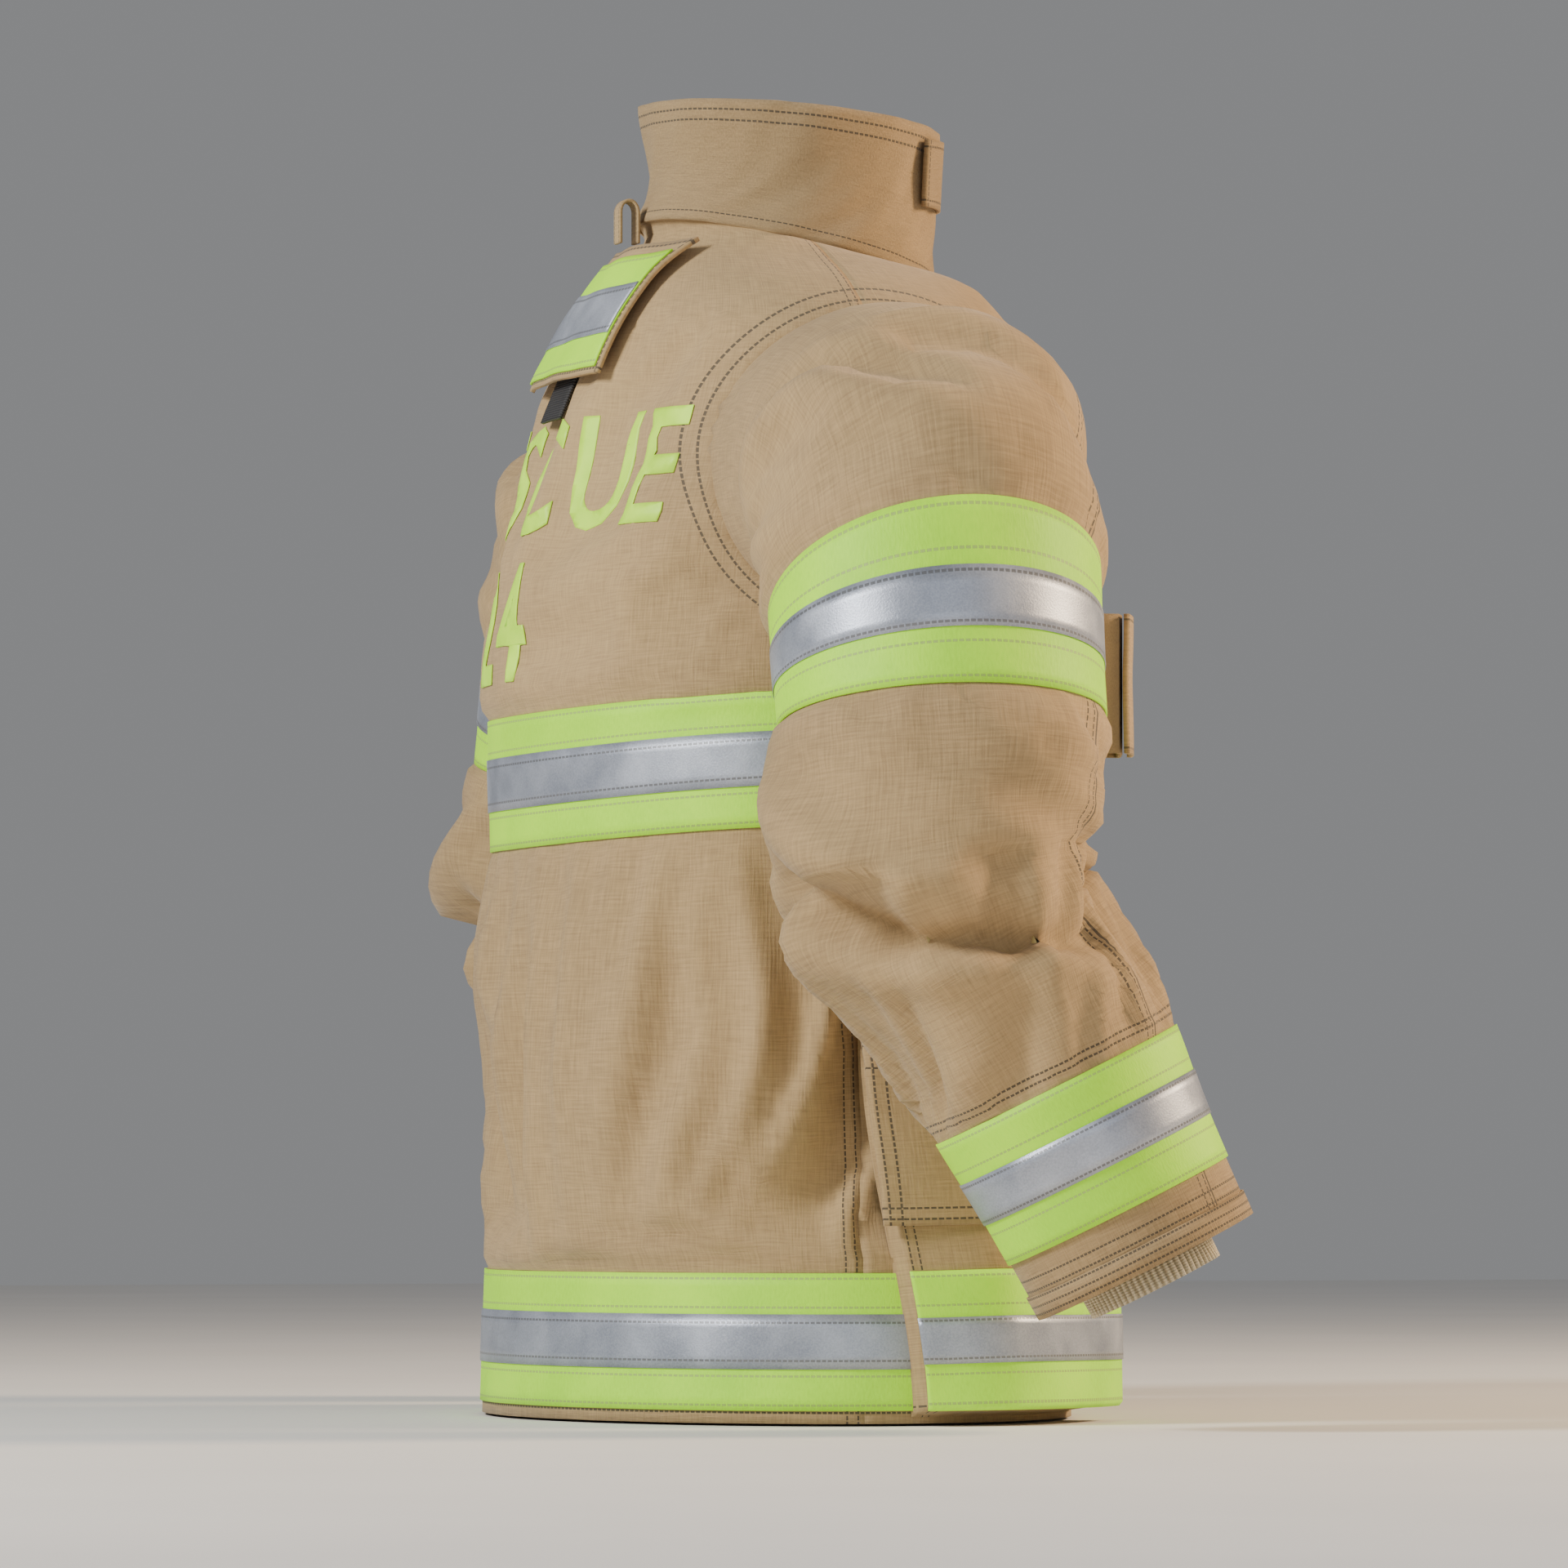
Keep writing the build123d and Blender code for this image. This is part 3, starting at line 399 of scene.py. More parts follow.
def body_rows(f, across, down):
    x, y, z = f.parts(f.place())
    dy, dz = y - shoulder.y, z - shoulder.z
    around = f.math("SQRT", dy * dy + dz * dz)
    spin = f.math("ARCTAN2", dz, dy) * armhole_radius
    sewn = f.stitches(across - side_seams[0] - 0.004, down)
    for aside in (
        across - side_seams[0] - 0.011, across - side_seams[1] + 0.004, across - side_seams[1] + 0.011
    ):
        sewn = sewn.larger(f.stitches(aside, down))
    for away in (0.005, 0.012):
        sewn = sewn.larger(f.stitches(around - armhole_radius - away, spin) * (abs(x) > 0.1))
    for up in (0.006, 0.0125):
        sewn = sewn.larger(f.stitches(down - hem - up, across))
    return sewn


body_finish = tan_cloth("tan_cloth_body", body_rows)
put_on(body_finish, back, right_front, left_front)
for piece, node in (
    (back, "back_panel"), (right_front, "right_front_panel"), (left_front, "left_front_panel"),
):
    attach(piece, "coat_body")
    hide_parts(node)
    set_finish(piece, "shell_cloth")

# ======================================
# Sleeves. The same cloth, set into round armholes and cut with a bend at the elbow. The cloth folds
# over itself behind the elbow and creases from there up and down the arm.
# ======================================
# way along the arm, its middle, its direction, and its radius in two directions
sleeve_sections = [
    (0.000, -0.160, -0.093, -0.167, -1.00, 0.00, 0.00, 0.0910, 0.0910),
    (0.024, -0.184, -0.093, -0.167, -1.00, 0.00, 0.00, 0.0920, 0.0920),
    (0.054, -0.214, -0.093, -0.167, -1.00, 0.00, 0.00, 0.0925, 0.0925),
    (0.087, -0.246, -0.093, -0.175, -0.95, 0.00, -0.30, 0.0935, 0.0930),
    (0.125, -0.275, -0.092, -0.199, -0.82, 0.00, -0.57, 0.0940, 0.0930),
    (0.164, -0.294, -0.091, -0.233, -0.58, 0.00, -0.81, 0.0925, 0.0915),
    (0.212, -0.308, -0.089, -0.279, -0.32, 0.00, -0.95, 0.0895, 0.0895),
    (0.283, -0.328, -0.087, -0.346, -0.12, 0.00, -0.99, 0.0880, 0.0880),
    (0.333, -0.334, -0.087, -0.396, -0.11, -0.20, -0.97, 0.0840, 0.0850),
    (0.383, -0.340, -0.109, -0.441, -0.12, -0.43, -0.89, 0.0770, 0.0770),
    (0.465, -0.349, -0.144, -0.514, -0.12, -0.43, -0.89, 0.0700, 0.0720),
    (0.508, -0.355, -0.162, -0.553, -0.12, -0.43, -0.89, 0.0655, 0.0675),
    (0.573, -0.362, -0.190, -0.611, -0.12, -0.43, -0.89, 0.0610, 0.0640),
]
sleeve_girth, weld = 0.55, 0.00005
upper_band, cuff_band, cuff_end = (0.174, 0.250), (0.463, 0.539), 0.573
elbow = Vector((-0.334, -0.087, -0.396))


def on_sleeve(around, way, lift=0.0):
    """A point on the right sleeve. around starts at the inner side and goes over the front."""
    x, y, z, a, b, c, radius_x, radius_y = along(sleeve_sections, way)
    ahead = Vector((a, b, c)).normalized()
    back_way = (Vector((0, 1, 0)) - ahead * ahead.y).normalized()
    inner_way = ahead.cross(back_way)
    angle = math.pi / 2 + around / sleeve_girth * 2 * math.pi
    return (
        Vector((x, y, z)) + back_way * math.cos(angle) * (radius_y + lift)
        + inner_way * math.sin(angle) * (radius_x + lift)
    )


def bell(value, middle, width):
    return math.exp(-(((value - middle) / width) ** 2))


def plain_between(way):
    """0 on the sewn bands, at the armhole and at the cuff, and 1 between them."""
    free = 1.0
    for low, high in ((0.0, 0.075), upper_band, (cuff_band[0], 0.6)):
        outside = max(low - way, way - high, 0.0)
        free *= min(1.0, outside / 0.028)
    return free


def sleeve_place(around, way):
    share = around / sleeve_girth
    lift = 0.0
    behind = bell(share, 0.66, 0.19)
    crease = 0.318 + 0.052 * min(abs(share - 0.76) / 0.25, 1.3)
    lift += behind * (0.014 * bell(way, crease - 0.019, 0.017) - 0.021 * bell(way, crease + 0.010, 0.010))
    lift += behind * 0.006 * bell(way, crease + 0.034, 0.013)
    # soft folds that run slanting round the upper arm, and more steeply down the forearm
    slant = share * 1.6 + way * 5.0 if way < 0.33 else share * 4.0 - way * 3.0
    fold = noise.noise(Vector((slant * 4.2, share * 3 - way * 5, 2.2)))
    fold += 0.5 * noise.noise(Vector((slant * 8.5, share * 5 + way * 9, 8.1)))
    lift += plain_between(way) * fold * 0.014
    front = bell(share, 0.28, 0.09)
    for at in (0.276, 0.322, 0.362):
        lift -= front * 0.010 * bell(way, at + (share - 0.28) * 0.12, 0.0070)
    return on_sleeve(around, way, lift)


sleeve_rounds = lines([0.0, sleeve_girth], 0.0062)
sleeve_ways = lines([0.0, 0.054, *upper_band, 0.333, *cuff_band, cuff_end], 0.0062)
sleeve_cloth = cloth("sleeve_cloth", sleeve_rounds, sleeve_ways, sleeve_place)
edit(sleeve_cloth, lambda bm, uv: bmesh.ops.remove_doubles(bm, verts=bm.verts, dist=weld))
edit(sleeve_cloth, lambda bm, uv: bmesh.ops.recalc_face_normals(bm, faces=bm.faces))


def sleeve_held(co):
    """1 at the armhole, along both bands and at the cuff."""

    def off(way):
        middle = along(sleeve_sections, way)[:6]
        return abs((co - Vector(middle[:3])).dot(Vector(middle[3:6]).normalized()))

    start = min(sleeve_sections, key=lambda row: (Vector(row[1:4]) - co).length)[0]
    nearest = min((start + step / 1000 for step in range(-60, 61, 4)), key=off)
    return 1.0 if plain_between(nearest) < 0.15 else 0.0


settle(sleeve_cloth, sleeve_held, growth=0.055, cap=0.013)


def other_side(piece, name):
    """The left sleeve's copy of a piece of the right one."""
    twin = bpy.data.objects.new(name, piece.data.copy())
    bpy.context.collection.objects.link(twin)
    for old in piece.modifiers:
        new = twin.modifiers.new(old.name, old.type)
        new.thickness, new.offset, new.use_even_offset = old.thickness, old.offset, old.use_even_offset

    def swap(bm, uv):
        bmesh.ops.scale(bm, vec=(-1, 1, 1), verts=bm.verts)
        bmesh.ops.reverse_faces(bm, faces=bm.faces)

    return edit(twin, swap)


def sleeve_rows(f, across, down):
    seam = across - 0.375 * sleeve_girth - (down - 0.3) * 0.10
    sewn = f.stitches(seam, down).larger(f.stitches(seam - 0.006, down)).larger(abs(seam + 0.003) < 0.0007)
    for up in (0.010, 0.016, 0.0225):
        sewn = sewn.larger(f.stitches(down - cuff_end + up, across))
    for at in (cuff_band[0] - 0.006, cuff_band[0] - 0.010):
        sewn = sewn.larger(f.stitches(down - at, across))
    return sewn


sleeve_finish = tan_cloth("tan_cloth_sleeve", sleeve_rows)
right_sleeve = panel("right_sleeve_cloth", sleeve_cloth, lambda u, v: True, thick=shell_thick)
put_on(sleeve_finish, right_sleeve)
left_sleeve = other_side(right_sleeve, "left_sleeve_cloth")


def bend_at_elbow(right, left, layer, slot):
    """Bakes each sleeve piece's place into its mesh, hides the upper and lower CAD parts it stands for, and
    gives it its finish's slot.
    """
    for side, name, piece in ((1, "right", right), (-1, "left", left)):
        elbow.x * side
        elbow.x * side
        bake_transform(piece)
        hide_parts(f"{name}_upper_{layer}", f"{name}_lower_{layer}")
        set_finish(piece, slot)


bend_at_elbow(right_sleeve, left_sleeve, "sleeve", "shell_cloth")

# ======================================
# Reflective bands. Three inch lime tape with a silver stripe down its middle, each sewn flat on the
# cloth with a row of stitches along every edge. They go round the chest, the hem and both sleeves.
# ======================================
def lime_tape(name, low, high):
    """Fluorescent lime knit tape between two heights of the cloth's cut, with a painted glow from its lime
    emission.
    """
    f = new_finish(name)
    across, down = f.cut()
    ribs = f.cloudy(1.0, 2.0, f.join(across * 700, down * 260, 0.0))
    sewn = f.stitches(down - low - 0.003, across)
    for at in (low + 0.019, high - 0.003, high - 0.019):
        sewn = sewn.larger(f.stitches(down - at, across))
    dust = f.cloudy(18.0, 4.0)
    colour = (ribs * 0.35 + dust * 0.65).ease(0.25, 0.75).mix((0.33, 0.72, 0.0), (0.47, 0.92, 0.004))
    colour = sewn.mix(colour, (0.30, 0.42, 0.10))
    # The lime emission is a painted glow: the tape shines the same under any lamp.
    return f.finish(
        colour, 0.62, ribs * 0.4 - sewn * 0.8, 0.0005,
        Emission_Color=(0.42, 1.0, 0.02, 1.0), Emission_Strength=0.16,
    )


def silver_tape(name, low, high):
    """Glass-bead stripe, grey with a soft shine, worn a little unevenly."""
    f = new_finish(name)
    across, down = f.cut()
    beads = f.cloudy(900.0, 1.0)
    wear = f.cloudy(26.0, 5.0)
    sewn = f.stitches(down - low - 0.0022, across).larger(f.stitches(down - high + 0.0022, across))
    colour = (beads * 0.3 + wear * 0.7).ease(0.2, 0.8).mix((0.24, 0.27, 0.34), (0.50, 0.54, 0.62))
    colour = sewn.mix(colour, (0.20, 0.21, 0.23))
    return f.finish(colour, wear.ease(0.2, 0.9) * 0.2 + 0.36, beads * 0.3 - sewn * 0.7, 0.0003, Metallic=0.55)


def banded(name, source, low, high, keep=lambda u: True):
    """A tape and its stripe, on the part of a cloth between two heights of its cut."""
    middle, half = (low + high) / 2, 0.0127
    tape = panel(f"{name}_tape", source, lambda u, v: low < v < high and keep(u), 0.0003, 0.0012, False)
    put_on(lime_tape(f"lime_{name}", low, high), tape)
    stripe = panel(
        f"{name}_stripe", source, lambda u, v: abs(v - middle) < half and keep(u), 0.0017, 0.0006, False
    )
    put_on(silver_tape(f"silver_{name}", middle - half, middle + half), stripe)
    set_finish(tape, "lime_tape")
    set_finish(stripe, "silver_stripe")
    return tape, stripe


storm_reach = (0.034, girth - 0.062)
for name, low in (("chest", chest_band_top - band_height), ("hem", hem_band_top - band_height)):
    tape, stripe = banded(
        name, body_cloth, low, low + band_height, lambda u: storm_reach[0] < u < storm_reach[1]
    )
    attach(tape, "coat_body")
    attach(stripe, "coat_body")
    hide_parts(f"{name}_trim")
    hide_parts(f"{name}_silver")
for name, (low, high), body in (("upper", upper_band, "upper_sleeve"), ("cuff", cuff_band, "forearm")):
    for piece, kind in zip(banded(f"right_{name}", sleeve_cloth, low, high), ("trim", "silver")):
        twin = other_side(piece, piece.name.replace("right", "left"))
        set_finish(twin, piece["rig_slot"])
        for owner, side in ((piece, "right"), (twin, "left")):
            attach(owner, f"{side}_{body}")
            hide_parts(f"{side}_{name}_{kind}")


# ======================================
# Collar. It stands up all round the neck and closes low in front. The outside is the same cloth as
# the shell, with rows of stitches along its edges, and the inside is a soft black lining.
# ======================================
collar_girth = 0.54
# share of the collar's height, half width, half depth, middle (y, z) and how far it rises to the back
collar_sections = [
    (0.0, 0.0885, 0.0865, -0.095, -0.0300, 0.227), (0.5, 0.0835, 0.0825, -0.099, 0.0040, 0.156),
    (1.0, 0.0880, 0.0860, -0.098, 0.0500, 0.087),
]


def on_collar(turn, share, lift=0.0):
    half_w, half_d, y, z, rise = along(collar_sections, share)
    angle = turn * 2 * math.pi
    away = -math.cos(angle) * (half_d + lift)
    return Vector((-math.sin(angle) * (half_w + lift), y + away, z + away * rise))


def collar_place(across, share, lift=0.0):
    turn = across / collar_girth
    soft = 0.0035 * noise.noise(Vector((turn * 11, share * 1.5, 4.2))) * share
    soft += 0.0020 * noise.noise(Vector((turn * 30 + share * 4, share * 2, 8.8)))
    return on_collar(turn, share, lift + soft)


collar_rounds = lines([0.0135, 0.5265], 0.0045)
collar_rows = [i / 22 for i in range(23)]


def collar_stitches(f, across, share):
    sewn = f.stitches((share - 0.93) * 0.09, across).larger(f.stitches((share - 0.86) * 0.09, across))
    sewn = sewn.larger(f.stitches((share - 0.10) * 0.09, across))
    for at in (0.0185, 0.5215):
        sewn = sewn.larger(f.stitches(across - at, share * 0.09))
    return sewn


def thicken(piece, thick, offset=-1.0):
    """Gives a cloth its thickness, inwards unless offset is 1."""
    solid = piece.modifiers.new("thickness", "SOLIDIFY")
    solid.thickness, solid.offset, solid.use_even_offset = thick, offset, False
    return piece


def settle_in(piece, body, slot, *nodes):
    """Says which body a piece moves with, its finish's slot, and which CAD nodes it stands for."""
    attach(piece, body)
    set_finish(piece, slot)
    if nodes:
        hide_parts(*nodes)


collar_outside = thicken(cloth("collar_cloth", collar_rounds, collar_rows, collar_place), 0.0028)
put_on(tan_cloth("tan_cloth_collar", collar_stitches), collar_outside)
settle_in(collar_outside, "coat_body", "shell_cloth", "collar_shell")
collar_inside = cloth(
    "collar_lining_cloth", collar_rounds, collar_rows,
    lambda u, v: collar_place(u, min(max(v, 0.02), 0.975), -0.0029),
)
thicken(collar_inside, 0.0022)


def fleece(name, dark, light):
    """Short soft pile, as on a collar's lining and on hook and loop tape."""
    f = new_finish(name)
    pile = f.cloudy(1500.0, 2.0)
    patches = f.cloudy(60.0, 3.0)
    colour = (pile * 0.7 + patches * 0.3).ease(0.3, 0.75).mix(dark, light)
    return f.finish(colour, 0.95, pile, 0.0006, Sheen_Weight=0.3)


black_pile = fleece("black_pile", (0.010, 0.010, 0.011), (0.034, 0.034, 0.037))
put_on(black_pile, collar_inside)
settle_in(collar_inside, "coat_body", "black_tape", "collar_lining")

# ======================================
# Throat tab. A padded strip of shell cloth across the collar's front opening. It is sewn on at the
# wearer's left and held shut by hook tape, so it swings open like a small gate.
# ======================================
tab_half = 0.066


def tab_place(across, down):
    share = 0.555 + 0.38 * down + 0.05 * math.cos(across / tab_half * math.pi / 2)
    return on_collar(across / collar_girth, share - 0.02, 0.0044)


tab_cloth = cloth(
    "throat_tab_cloth", lines([-tab_half, tab_half], 0.004), [i / 12 for i in range(13)], tab_place,
    (0, neck_axis_y, 0.02),
)


def tab_stitches(f, across, down):
    sewn = f.stitches(abs(across) - 0.062, down * 0.04)
    for at in (0.10, 0.90):
        sewn = sewn.larger(f.stitches((down - at) * 0.04, across))
    return sewn


put_on(tan_cloth("tan_cloth_tab", tab_stitches), thicken(tab_cloth, 0.0026))
settle_in(tab_cloth, "throat_tab", "shell_cloth", "throat_tab")

# ======================================
# Hang loop. A narrow strap of folded cloth behind the collar, sewn down at both ends, that the coat
# hangs from on a peg.
# ======================================
def loop_place(across, down):
    angle = math.pi * min(max((down - 0.018) / 0.0185, 0.0), 1.0)
    climb = min(down, 0.018) if down < 0.018 else 0.018 - max(0.0, down - 0.0365)
    y = 0.0062 * math.cos(angle)
    return Vector((across * (1 - 0.10 * math.sin(angle)), y, -0.0235 + climb + 0.0078 * math.sin(angle)))


loop_cloth = cloth(
    "hang_loop_cloth", lines([-0.006, 0.006], 0.002), lines([0.0, 0.018, 0.0365, 0.0545], 0.0012),
    loop_place, (0, 0, -0.012),
)


def loop_stitches(f, across, down):
    return f.stitches(abs(across) - 0.0045, down, 0.0028, 0.0004)


put_on(tan_cloth("tan_cloth_loop", loop_stitches), thicken(loop_cloth, 0.0018))
settle_in(loop_cloth, "coat_body", "shell_cloth", "hang_loop")

# ======================================
# Drag rescue strap and its flap. A loop of black webbing comes out between the shoulders, and a flap
# with a reflective band of its own folds down over it.
# ======================================
def webbing(name):
    """Tightly woven flat strap, in ribs across its width."""
    f = new_finish(name)
    across, down = f.cut()
    ribs = f.math("SINE", down * 4200.0) * 0.5 + 0.5
    threads = f.math("SINE", across * 5200.0) * 0.5 + 0.5
    wear = f.cloudy(40.0, 3.0)
    colour = (ribs * 0.5 + threads * 0.2 + wear * 0.3).ease(0.2, 0.9)
    colour = colour.mix((0.009, 0.009, 0.010), (0.042, 0.042, 0.046))
    return f.finish(colour, wear * 0.25 + 0.48, ribs * 0.7 + threads * 0.3, 0.0004)


def on_back(x, height, lift):
    """A point on the back at a distance x to the left of its middle."""
    half_w = along(body_sections, height)[0]
    return on_body(0.5 + math.asin(max(-0.99, min(0.99, x / half_w))) / (2 * math.pi), height, lift)


black_webbing = webbing("black_webbing")
strap_cloth = thicken(cloth(
    "drag_strap_webbing", lines([-0.020, 0.020], 0.004), lines([-0.040, -0.128], 0.004),
    lambda x, z: on_back(x, z, 0.0030 + 0.0008 * math.cos(z * 90)), (0, neck_axis_y, -0.10),
), 0.0020)
put_on(black_webbing, strap_cloth)
settle_in(strap_cloth, "coat_body", "black_tape", "drag_strap")


def drag_place(x, z):
    lower = (-0.034 - z) / 0.074
    curl = 0.0016 * noise.noise(Vector((x * 30, z * 30, 6.0))) + 0.0012 * lower**2
    return on_back(x, z, 0.0093 + curl)


drag_cloth = cloth(
    "drag_flap_cloth", lines([-0.068, 0.068], 0.0030), lines([-0.034, -0.042, -0.105, -0.108], 0.0030),
    drag_place, (0, neck_axis_y, -0.10),
)
drag_panel = panel("drag_flap_panel", drag_cloth, lambda u, v: True, thick=0.0028)


def edge_stitches(half_width, low, high, inset=0.0035):
    """Rows of stitches just inside the edges of an oblong piece."""
    def rows(f, across, down):
        sewn = f.stitches(abs(across) - half_width + inset, down)
        for at in (low + inset, high - inset):
            sewn = sewn.larger(f.stitches(down - at, across))
        return sewn
    return rows


put_on(tan_cloth("tan_cloth_drag", edge_stitches(0.068, -0.108, -0.034, 0.0022)), drag_panel)
settle_in(drag_panel, "drag_flap", "shell_cloth", "drag_flap")
drag_tape, drag_stripe = banded("drag", drag_cloth, -0.105, -0.042, lambda u: abs(u) < 0.0655)
settle_in(drag_tape, "drag_flap", "lime_tape", "drag_flap_trim")
settle_in(drag_stripe, "drag_flap", "silver_stripe", "drag_flap_silver")

# ======================================
# Back lettering. Two rows of lime block letters, cut from thin film and pressed on the cloth. The
# words are plain ones that any coat may carry.
# ======================================
shell_tree = BVHTree.FromObject(body_cloth, bpy.context.evaluated_depsgraph_get())


def lettering(name, words, height, top, tall):
    """A row of letters on the back, laid on the cloth with its folds."""
    curve = bpy.data.curves.new(name, "FONT")
    curve.body, curve.align_x, curve.size = words, "CENTER", height
    curve.offset, curve.resolution_u, curve.space_character = 0.0012, 3, 1.12
    text = bpy.data.objects.new(name + "_outline", curve)
    bpy.context.collection.objects.link(text)
    mesh = bpy.data.meshes.new_from_object(text.evaluated_get(bpy.context.evaluated_depsgraph_get()))
    bpy.data.objects.remove(text)
    piece = bpy.data.objects.new(name, mesh)
    bpy.context.collection.objects.link(piece)

    def lay(bm, uv):
        bmesh.ops.remove_doubles(bm, verts=bm.verts, dist=0.00002)
        xs = [v.co.x for v in bm.verts]
        ys = [v.co.y for v in bm.verts]
        for axis, low, high in ((0, min(xs), max(xs)), (1, min(ys), max(ys))):
            for i in range(1, int((high - low) / 0.006) + 1):
                at = Vector((0, 0, 0))
                at[axis] = low + i * 0.006
                way = Vector((axis == 0, axis == 1, 0))
                everything = bm.verts[:] + bm.edges[:] + bm.faces[:]
                bmesh.ops.bisect_plane(bm, geom=everything, plane_co=at, plane_no=way)
        grow = tall / (max(ys) - min(ys))
        for vert in bm.verts:
            x, z = -vert.co.x, top - (max(ys) - vert.co.y) * grow
            hit, normal, _, _ = shell_tree.ray_cast(Vector((x, 0.4, z)), Vector((0, -1, 0)))
            vert.co = hit + normal * 0.0004
        bmesh.ops.recalc_face_normals(bm, faces=bm.faces)
        if sum(f.normal.y for f in bm.faces) < 0:
            bmesh.ops.reverse_faces(bm, faces=bm.faces)

    edit(piece, lay)
    return thicken(piece, 0.0005, 1.0)


f = new_finish("lime_film")
film = f.cloudy(55.0, 4.0)
# The lime emission is a painted glow: the letters shine the same under any lamp.
lime_film = f.finish(
    film.ease(0.25, 0.75).mix((0.44, 0.78, 0.02), (0.58, 0.95, 0.05)), film * 0.2 + 0.40, film, 0.0002,
    Emission_Color=(0.42, 1.0, 0.02, 1.0), Emission_Strength=0.14,
)
for name, words, size, top in (("back_word", "RESCUE", 0.078, -0.128), ("back_number", "24", 0.078, -0.212)):
    letters = lettering(name, words, size, top, 0.068)
    put_on(lime_film, letters)
    settle_in(letters, "coat_body", "lime_tape")

# ======================================
# Hand pockets. Big bellows pockets at the hem, whose sides fold flat at the back edge and stand open
# at the front. Each has a stiff flap sewn above it, and the hem's reflective band crosses it.
# ======================================
def rising(value, low, high):
    """0 below low, 1 above high, and smooth between."""
    t = min(max((value - low) / (high - low), 0.0), 1.0)
    return t * t * (3 - 2 * t)


pocket_width = 0.225


def pocket_place(across, height):
    """across runs from the pocket's back edge, 0, to its front edge. The back edge leans forward."""
    share = across / pocket_width
    turn = 0.0985 + (1 - share) * (0.268 - 0.0985 - 0.026 * rising(-height, 0.49, 0.70))
    front, bottom, top = pocket_width - across, height + 0.6955, -0.4915 - height
    wall = rising(across, 0.0012, 0.0065) * rising(front, 0.0005, 0.003) * rising(bottom, 0.0005, 0.004)
    full = 0.013 + 0.017 * rising(across, 0.0, 0.075) - 0.004 * rising(-top, -0.03, 0.0)
    slack = 0.0022 * noise.noise(Vector((across * 22, height * 16, 7.7)))
    full += slack * rising(min(across, front, bottom, top), 0.004, 0.03)
    return on_body(turn, height, 0.0012 + wall * full)


pocket_sides = [0.0, 0.0012, 0.003, 0.0048, 0.0065]
pocket_columns = pocket_sides + lines([0.0095, 0.2155], 0.0045) + [0.219, 0.222, 0.2235, 0.2245, 0.225]
pocket_rows = [-0.4915, -0.4930] + lines([-0.4960, -0.616], 0.0050) + lines([-0.616, -0.688], 0.0050)[1:]
pocket_rows += [-0.6905, -0.6920, -0.6935, -0.6948, -0.6955]
pocket_cloth = cloth("pocket_cloth", pocket_columns, pocket_rows, pocket_place, (0, neck_axis_y, -0.6))
right_pocket = panel("right_pocket_cloth", pocket_cloth, lambda u, v: True, thick=0.0016)


def pocket_stitches(f, across, down):
    sewn = f.stitches(across - 0.0095, down).larger(f.stitches(across - 0.2155, down))
    return sewn.larger(f.stitches(down + 0.690, across)).larger(f.stitches(across - 0.0155, down))


put_on(tan_cloth("tan_cloth_pocket", pocket_stitches), right_pocket)
left_pocket = other_side(right_pocket, "left_pocket_cloth")
right_pocket_tape, right_pocket_stripe = banded(
    "right_pocket", pocket_cloth, -0.692, -0.616, lambda u: 0.0070 < u < 0.2175
)
left_pocket_tape = other_side(right_pocket_tape, "left_pocket_tape")
left_pocket_stripe = other_side(right_pocket_stripe, "left_pocket_stripe")
for side, pieces in (
    ("right", (right_pocket, right_pocket_tape, right_pocket_stripe)),
    ("left", (left_pocket, left_pocket_tape, left_pocket_stripe)),
):
    settle_in(pieces[0], "coat_body", "shell_cloth", f"{side}_pocket")
    settle_in(pieces[1], "coat_body", "lime_tape", "hem_trim")
    settle_in(pieces[2], "coat_body", "silver_stripe", "hem_silver")


def flap_place(across, height):
    share = across / 0.170
    turn = 0.1000 + (1 - share) * (0.268 - 0.1000 - 0.008 * rising(-height, 0.49, 0.60))
    fall = (-0.4870 - height) / 0.104
    rest = 0.0165 + 0.0170 * rising(across, 0.0, 0.075)
    lift = 0.0035 + (rest - 0.0035) * rising(fall, -0.05, 0.16) + 0.002 * fall
    lift += 0.0018 * noise.noise(Vector((across * 26, height * 20, 1.1))) * rising(fall, 0.0, 0.5)
    return on_body(turn, height, lift)


flap_cloth = cloth(
    "right_pocket_flap_cloth", lines([0.0, 0.170], 0.0042), lines([-0.4870, -0.591], 0.0042), flap_place,
    (0, neck_axis_y, -0.54),
)


def flap_stitches(f, across, down):
    """Two rows round the free edges, and a box of stitches at each upper corner."""
    sewn = f.stitches(down + 0.591 - 0.0035, across).larger(f.stitches(down + 0.591 - 0.0095, across))
    for at in (0.0035, 0.0095, 0.1605, 0.1665):
        sewn = sewn.larger(f.stitches(across - at, down))
    for at in (-0.4905, -0.5035):
        sewn = sewn.larger(f.stitches(down - at, across))
    return sewn


put_on(tan_cloth("tan_cloth_flap", flap_stitches), thicken(flap_cloth, 0.0030))
settle_in(flap_cloth, "right_pocket_flap", "shell_cloth", "right_pocket_flap")
left_flap = other_side(flap_cloth, "left_pocket_flap_cloth")
settle_in(left_flap, "left_pocket_flap", "shell_cloth", "left_pocket_flap")

# ======================================
# Storm flap. A long placket that covers the zipper. It is sewn on at the wearer's left and closes
# with hook tape down its free edge, and both reflective bands run across it.
# ======================================
def on_front(x, height, out):
    """A point in front of the chest, straight ahead of the cloth at a distance x to the left."""
    half_w = along(body_sections, height)[0]
    turn = -math.asin(max(-0.99, min(0.99, x / half_w))) / (2 * math.pi)
    return on_body(turn, height) + Vector((0, -out, 0))


def storm_place(x, z):
    soft = 0.0010 * noise.noise(Vector((x * 20, z * 9, 2.7)))
    return on_front(x, z, 0.0098 + soft * (1 if x < 0.055 else 0))


